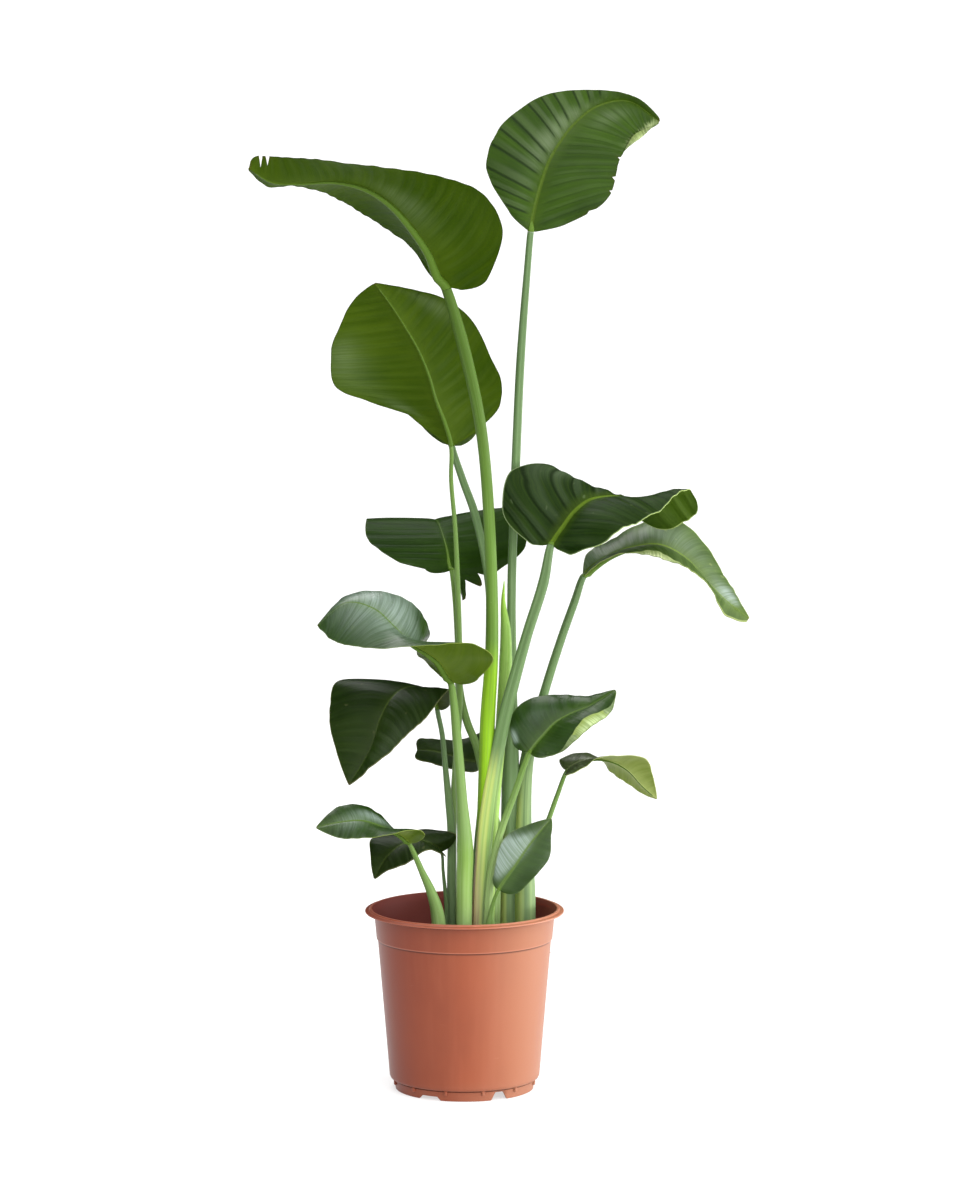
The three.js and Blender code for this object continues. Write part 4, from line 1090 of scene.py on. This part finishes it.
def stalk_skin(name, foot, middle, top, streak, shine, gloss):
    """A waxy stalk: pale at its foot, fine lengthwise fibres, and lime green where it is young."""
    f = Finish(name + "_stalk_skin")
    foot, middle, top, streak = (colour(*screen) for screen in (foot, middle, top, streak))
    around_x, around_y, run = f.field("skin")
    share, tone, lime = f.field("about")
    dry, pale, cream = f.field("marks")
    facing_right = f.parts(f.node("ShaderNodeNewGeometry", {}, {}, "Normal"))[0]
    from_left = f.parts(f.place())[0]
    dry = dry * (1 - from_left.between(SHEATH_EDGE, SHEATH_EDGE + 0.01))
    fibre = f.grain(around_x * 9, around_y * 9, run * 9, 3.0, 0.6)
    strip = f.grain(around_x * 3, around_y * 3, run * 3 + tone * 9, 3.0, 0.55)
    broad = f.grain(around_x * 1.6, around_y * 1.6, run * 5 + tone * 20)
    speck = f.grain(around_x * 4, around_y * 4, run * 260, 2.0)
    shade = f.layers(
        f.mix(share.between(0.02, 0.35), foot, middle),
        (share.between(0.35, 0.95), top),
        (lime, LIME),
        (fibre.between(0.5, 0.78) * 0.35, streak),
        ((1 - broad.between(0.3, 0.6)) * 0.5, top),
        (pale * strip.between(0.34, 0.66), PALE_SHEATH),
        (cream * (1 - facing_right.between(-0.6, 0.2)), CREAM_SHEATH),
        (dry * strip.between(0.3, 0.5), DRY_SHEATH),
        (dry * fibre.between(0.52, 0.64) * 0.8, DRY_STREAK),
        (speck.between(0.7, 0.78) * 0.3, streak),
    )
    return f.surface(f.skin(
        shade, gloss + (broad - 0.5) * 0.2, shine, Normal=f.relief(fibre * 0.7 + broad * 0.6, 0.0007, 0.5),
        IOR=1.45, Subsurface_Weight=0.08, Subsurface_Radius=(0.4, 1.0, 0.2), Subsurface_Scale=0.004,
    ))


def pot_plastic():
    """Terracotta-coloured plastic, streaked and rubbed, with painted highlights on its rubbed edges,
    painted shade in its corners and inside, painted shade that makes it darker and redder on its left and a
    painted sheen that makes it paler on its right.
    """
    f = Finish("terracotta_plastic")
    where = f.place()
    x, y, z = f.parts(where)
    cloud = f.grain(x * 9, y * 9, z * 5, 4.0)
    streak = f.grain(x * 60, y * 60, z * 3, 2.0)
    grain = f.noise(where, 1400.0, 2.0)
    scuff = f.grain(x * 30, y * 30, z * 210, 5.0, 0.7).between(0.66, 0.8)
    dust = (1 - z.between(0.0, 0.03)) * cloud.between(0.3, 0.8) * 0.3
    inside, rubbed_and_highlit, corner = f.field("about")
    soil_line = inside * (1 - z.between(0.168, 0.186)) * cloud.between(0.35, 0.6)
    shade = f.layers(
        f.mix(cloud.between(0.3, 0.7), colour(120, 58, 36), colour(134, 67, 41)),
        (streak.between(0.45, 0.75) * 0.25, colour(146, 80, 57)),
        # Painted shade: darker and redder on the left.
        ((1 - x.between(-0.1, -0.01)) * 0.7, colour(116, 46, 27)),
        # Painted sheen: paler on the right.
        (x.between(-0.01, 0.095) * 0.9, colour(146, 96, 71)),
        (scuff * 0.25, colour(170, 120, 98)),
        (dust, colour(140, 104, 84)),
        # Painted shade inside the pot.
        (inside * 0.85, colour(92, 27, 20)),
        (soil_line * 0.6, colour(40, 28, 22)),
        # Paler edges: partly wear, partly a painted highlight.
        (rubbed_and_highlit * 0.7, colour(196, 132, 110)),
        # Painted shade under the lip, under the collar and in the groove above the foot ring.
        (corner * 0.8, colour(52, 22, 16)),
    )
    height = grain * 0.35 + cloud * 0.6 + streak * 0.3
    return f.surface(f.skin(
        shade, 0.34 + cloud * 0.1 + scuff * 0.15 + dust + inside * 0.3, 0.28,
        Normal=f.relief(height, 0.0003, 0.35), Subsurface_Weight=0.05, Subsurface_Radius=(1.0, 0.4, 0.25),
        Subsurface_Scale=0.003,
    ))


def soil_finish(name, deep, light):
    """Damp crumbs of peat and bark."""
    f = Finish(name)
    where = f.place()
    crumb = f.noise(where, 420.0, 5.0, 0.65)
    patch = f.noise(where, 60.0)
    shade = f.mix(crumb.between(0.3, 0.7) * 0.7 + patch.between(0.3, 0.7) * 0.3, deep, light)
    return f.surface(f.skin(shade, 0.8 + crumb * 0.15, 0.25, Normal=f.relief(crumb + patch, 0.0012, 0.8)))


def studio_floor():
    """Pale paper, lit a little from within."""
    f = Finish("pale_floor")
    shade = f.mix(f.noise(f.place(), 0.8, 2.0), (0.38, 0.38, 0.38, 1), (0.4, 0.4, 0.4, 1))
    return f.surface(f.skin(shade, 0.9, 0.1, Emission_Color=(1.0, 1.0, 1.0, 1.0), Emission_Strength=0.6))


# Each kind of leaf: the colour of its pale torn strips and rolled margins, and for its upper and then its
# under face first the deep, light, midrib, margin and silver colours, the silver being that of the painted
# sheen and the silvery bloom, and then gloss, shine, veins, how strongly the folds carry painted shade and
# highlight, half the width of the midrib at its foot in metres, and how strongly the margin is drawn.
LEAF_SKINS = {
    "olive": [
        (170, 184, 120),
        [(35, 55, 6), (52, 71, 13), (76, 93, 28), (86, 97, 35), (112, 128, 92)],
        (0.45, 0.12, 1.0, 0.15, 0.002, 0.6),
        [(42, 62, 1), (60, 79, 7), (69, 88, 19), (42, 52, 11), (118, 134, 96)],
        (0.5, 0.05, 0.8, 0.12, 0.002, 0.7),
    ],
    "ribbed": [
        (178, 192, 136),
        [(26, 46, 1), (45, 69, 6), (66, 86, 20), (45, 60, 15), (98, 112, 82)],
        (0.42, 0.1, 0.7, 0.95, 0.0016, 0.6),
        [(45, 64, 3), (61, 81, 10), (69, 89, 21), (78, 93, 24), (93, 105, 57)],
        (0.5, 0.06, 0.8, 0.3, 0.002, 0.6),
    ],
    "deep": [
        (178, 190, 140),
        [(20, 37, 6), (36, 57, 14), (43, 67, 13), (55, 72, 26), (65, 84, 48)],
        (0.4, 0.03, 0.7, 0.35, 0.002, 0.5),
        [(26, 44, 3), (37, 60, 7), (55, 79, 17), (43, 61, 16), (70, 89, 48)],
        (0.5, 0.08, 0.8, 0.3, 0.002, 0.5),
    ],
    "folded": [
        (178, 190, 140),
        [(16, 29, 8), (30, 46, 16), (82, 104, 29), (107, 123, 85), (84, 98, 76)],
        (0.45, 0.03, 0.6, 0.7, 0.0028, 0.9),
        [(52, 74, 8), (71, 94, 23), (91, 117, 44), (165, 185, 107), (107, 126, 79)],
        (0.5, 0.08, 0.8, 0.3, 0.002, 0.9),
    ],
    "silver": [
        (186, 198, 146),
        [(52, 71, 28), (77, 97, 50), (105, 127, 51), (144, 156, 95), (150, 164, 158)],
        (0.38, 0.2, 0.8, 0.1, 0.002, 0.9),
        [(62, 72, 36), (80, 90, 54), (97, 115, 55), (128, 140, 81), (150, 164, 158)],
        (0.45, 0.2, 0.8, 0.3, 0.002, 0.9),
    ],
    "glossy": [
        (172, 190, 136),
        [(24, 44, 7), (41, 65, 19), (76, 100, 41), (83, 100, 59), (134, 150, 140)],
        (0.3, 0.22, 0.5, 0.12, 0.0014, 0.5),
        [(65, 86, 11), (87, 108, 25), (112, 131, 44), (130, 143, 63), (140, 152, 100)],
        (0.42, 0.2, 0.6, 0.15, 0.0014, 0.6),
    ],
    "night": [
        (170, 184, 130),
        [(18, 30, 6), (35, 49, 16), (56, 69, 31), (103, 105, 69), (90, 103, 81)],
        (0.38, 0.1, 0.7, 0.2, 0.0014, 0.8),
        [(41, 52, 11), (58, 69, 25), (79, 88, 43), (103, 105, 69), (94, 97, 81)],
        (0.45, 0.1, 0.8, 0.2, 0.0014, 0.8),
    ],
    "young": [
        (190, 200, 140),
        [(58, 66, 38), (84, 92, 60), (110, 118, 84), (130, 140, 90), (120, 126, 104)],
        (0.34, 0.3, 0.7, 0.3, 0.0012, 0.6),
        [(115, 131, 55), (144, 157, 81), (172, 183, 117), (187, 193, 136), (166, 174, 145)],
        (0.42, 0.25, 0.7, 0.3, 0.0012, 0.6),
    ],
}
FACES = {
    kind: [leaf_face(kind + "_leaf_upper", pale, *look[:2]),
           leaf_face(kind + "_leaf_under", pale, *look[2:])]
    for kind, (pale, *look) in LEAF_SKINS.items()
}
# Each kind of stalk: the colours of its foot, its middle, its top and its fibres, then shine and gloss.
STALK_SKINS = {
    "bright": ((125, 155, 90), (89, 121, 48), (61, 85, 25), (125, 149, 90), 0.12, 0.42),
    "grey": ((104, 128, 88), (92, 118, 72), (78, 102, 62), (140, 158, 124), 0.16, 0.45),
    "pale": ((131, 157, 98), (106, 133, 74), (87, 115, 51), (152, 170, 130), 0.14, 0.44),
    "rib": ((72, 98, 30), (72, 98, 30), (70, 94, 26), (96, 118, 56), 0.1, 0.45),
    "spear": ((148, 180, 97), (148, 181, 93), (118, 154, 67), (174, 195, 122), 0.25, 0.42),
}
STALKS = {kind: stalk_skin(kind, *look) for kind, look in STALK_SKINS.items()}

for rows in LEAVES:
    name = rows["name"]
    lines = Leaf(rows)
    blade = leaf_blade(lines).made(name + "_leaf", [*FACES[rows["finish"]], STALKS["rib"]], crease=60)
    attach(blade, "root")
    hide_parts("blade_" + name)
    stem = leaf_stem(lines).made(name + "_stalk", [STALKS[rows["stalk"]]], crease=60)
    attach(stem, "root")
    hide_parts("stem_" + name)

spear = rolled_spear().made("rolled_leaf", [STALKS["spear"]], crease=50)
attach(spear, "root")
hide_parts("spear")

pot = nursery_pot().made("nursery_pot", [pot_plastic()], crease=32)
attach(pot, "root")
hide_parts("pot")

mix = potting_mix().made("potting_mix", [
    soil_finish("peat", colour(30, 22, 17), colour(58, 43, 32)),
    soil_finish("bark_crumbs", colour(56, 38, 26), colour(98, 70, 48)),
], crease=30)
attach(mix, "root")
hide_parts("soil")

# The studio, in metres.

scene = bpy.context.scene
scene.view_settings.view_transform = "Standard"

FLOOR_REACH = 400.0
floor_mesh = bpy.data.meshes.new("studio_floor")
floor_corners = [(FLOOR_REACH * x, FLOOR_REACH * y, 0) for x, y in ((-1, -1), (1, -1), (1, 1), (-1, 1))]
floor_mesh.from_pydata(floor_corners, [], [(0, 1, 2, 3)])
floor_mesh.materials.append(studio_floor())
floor = bpy.data.objects.new("studio_floor", floor_mesh)
scene.collection.objects.link(floor)

# A white sky that glows where it looks this way: from the upper front right.
GLOW_TOWARDS = (0.406, -0.579, 0.707)
world = bpy.data.worlds.new("soft_white_studio")
world.use_nodes = True
scene.world = world
sky = Finish("", world.node_tree)
looking = sky.node("ShaderNodeTexCoord", {}, {}, "Generated")
facing = sky.node("ShaderNodeVectorMath", {"operation": "DOT_PRODUCT"}, {0: looking, 1: GLOW_TOWARDS}, 1)
glow = 0.02 + 3.3 * facing.between(0.14, 0.92)
backdrop = sky.node("ShaderNodeBackground", {}, {"Color": (1.0, 1.0, 1.0, 1.0), "Strength": glow})
sky.node("ShaderNodeOutputWorld", {}, {0: backdrop}, None)


def softbox(name, place, target, size, power):
    """A lamp that looks from its place at a target, which the camera doesn't see."""
    lamp = bpy.data.lights.new(name, "AREA")
    lamp.shape = "RECTANGLE"
    lamp.size, lamp.size_y = size
    lamp.energy = power
    made = bpy.data.objects.new(name, lamp)
    made.location = place
    made.rotation_euler = (Vector(target) - Vector(place)).to_track_quat("-Z", "Y").to_euler()
    made.visible_camera = False
    scene.collection.objects.link(made)


softbox("side_softbox", (2.6, 0.45, 0.36), (0.0, 0.0, 0.2), (1.6, 0.7), 49)
softbox("front_softbox", (2.2, -1.55, 0.36), (0.0, 0.0, 0.2), (1.5, 0.7), 26)
softbox("top_softbox", (-0.5, 1.4, 2.6), (0.0, 0.0, 0.7), (1.8, 1.2), 40)

PHOTO_PLACE = (0.01885, -5.9883, 1.3394)
PHOTO_PITCH = math.radians(7.05)
camera_data = bpy.data.cameras.new("photo_camera")
camera_data.lens = 150.0
camera_data.sensor_width = 36.0
camera_data.clip_end = 1000.0
camera = bpy.data.objects.new("photo_camera", camera_data)
camera.location = PHOTO_PLACE
camera.rotation_euler = (math.pi / 2 - PHOTO_PITCH, 0, 0)
scene.collection.objects.link(camera)
scene.camera = camera
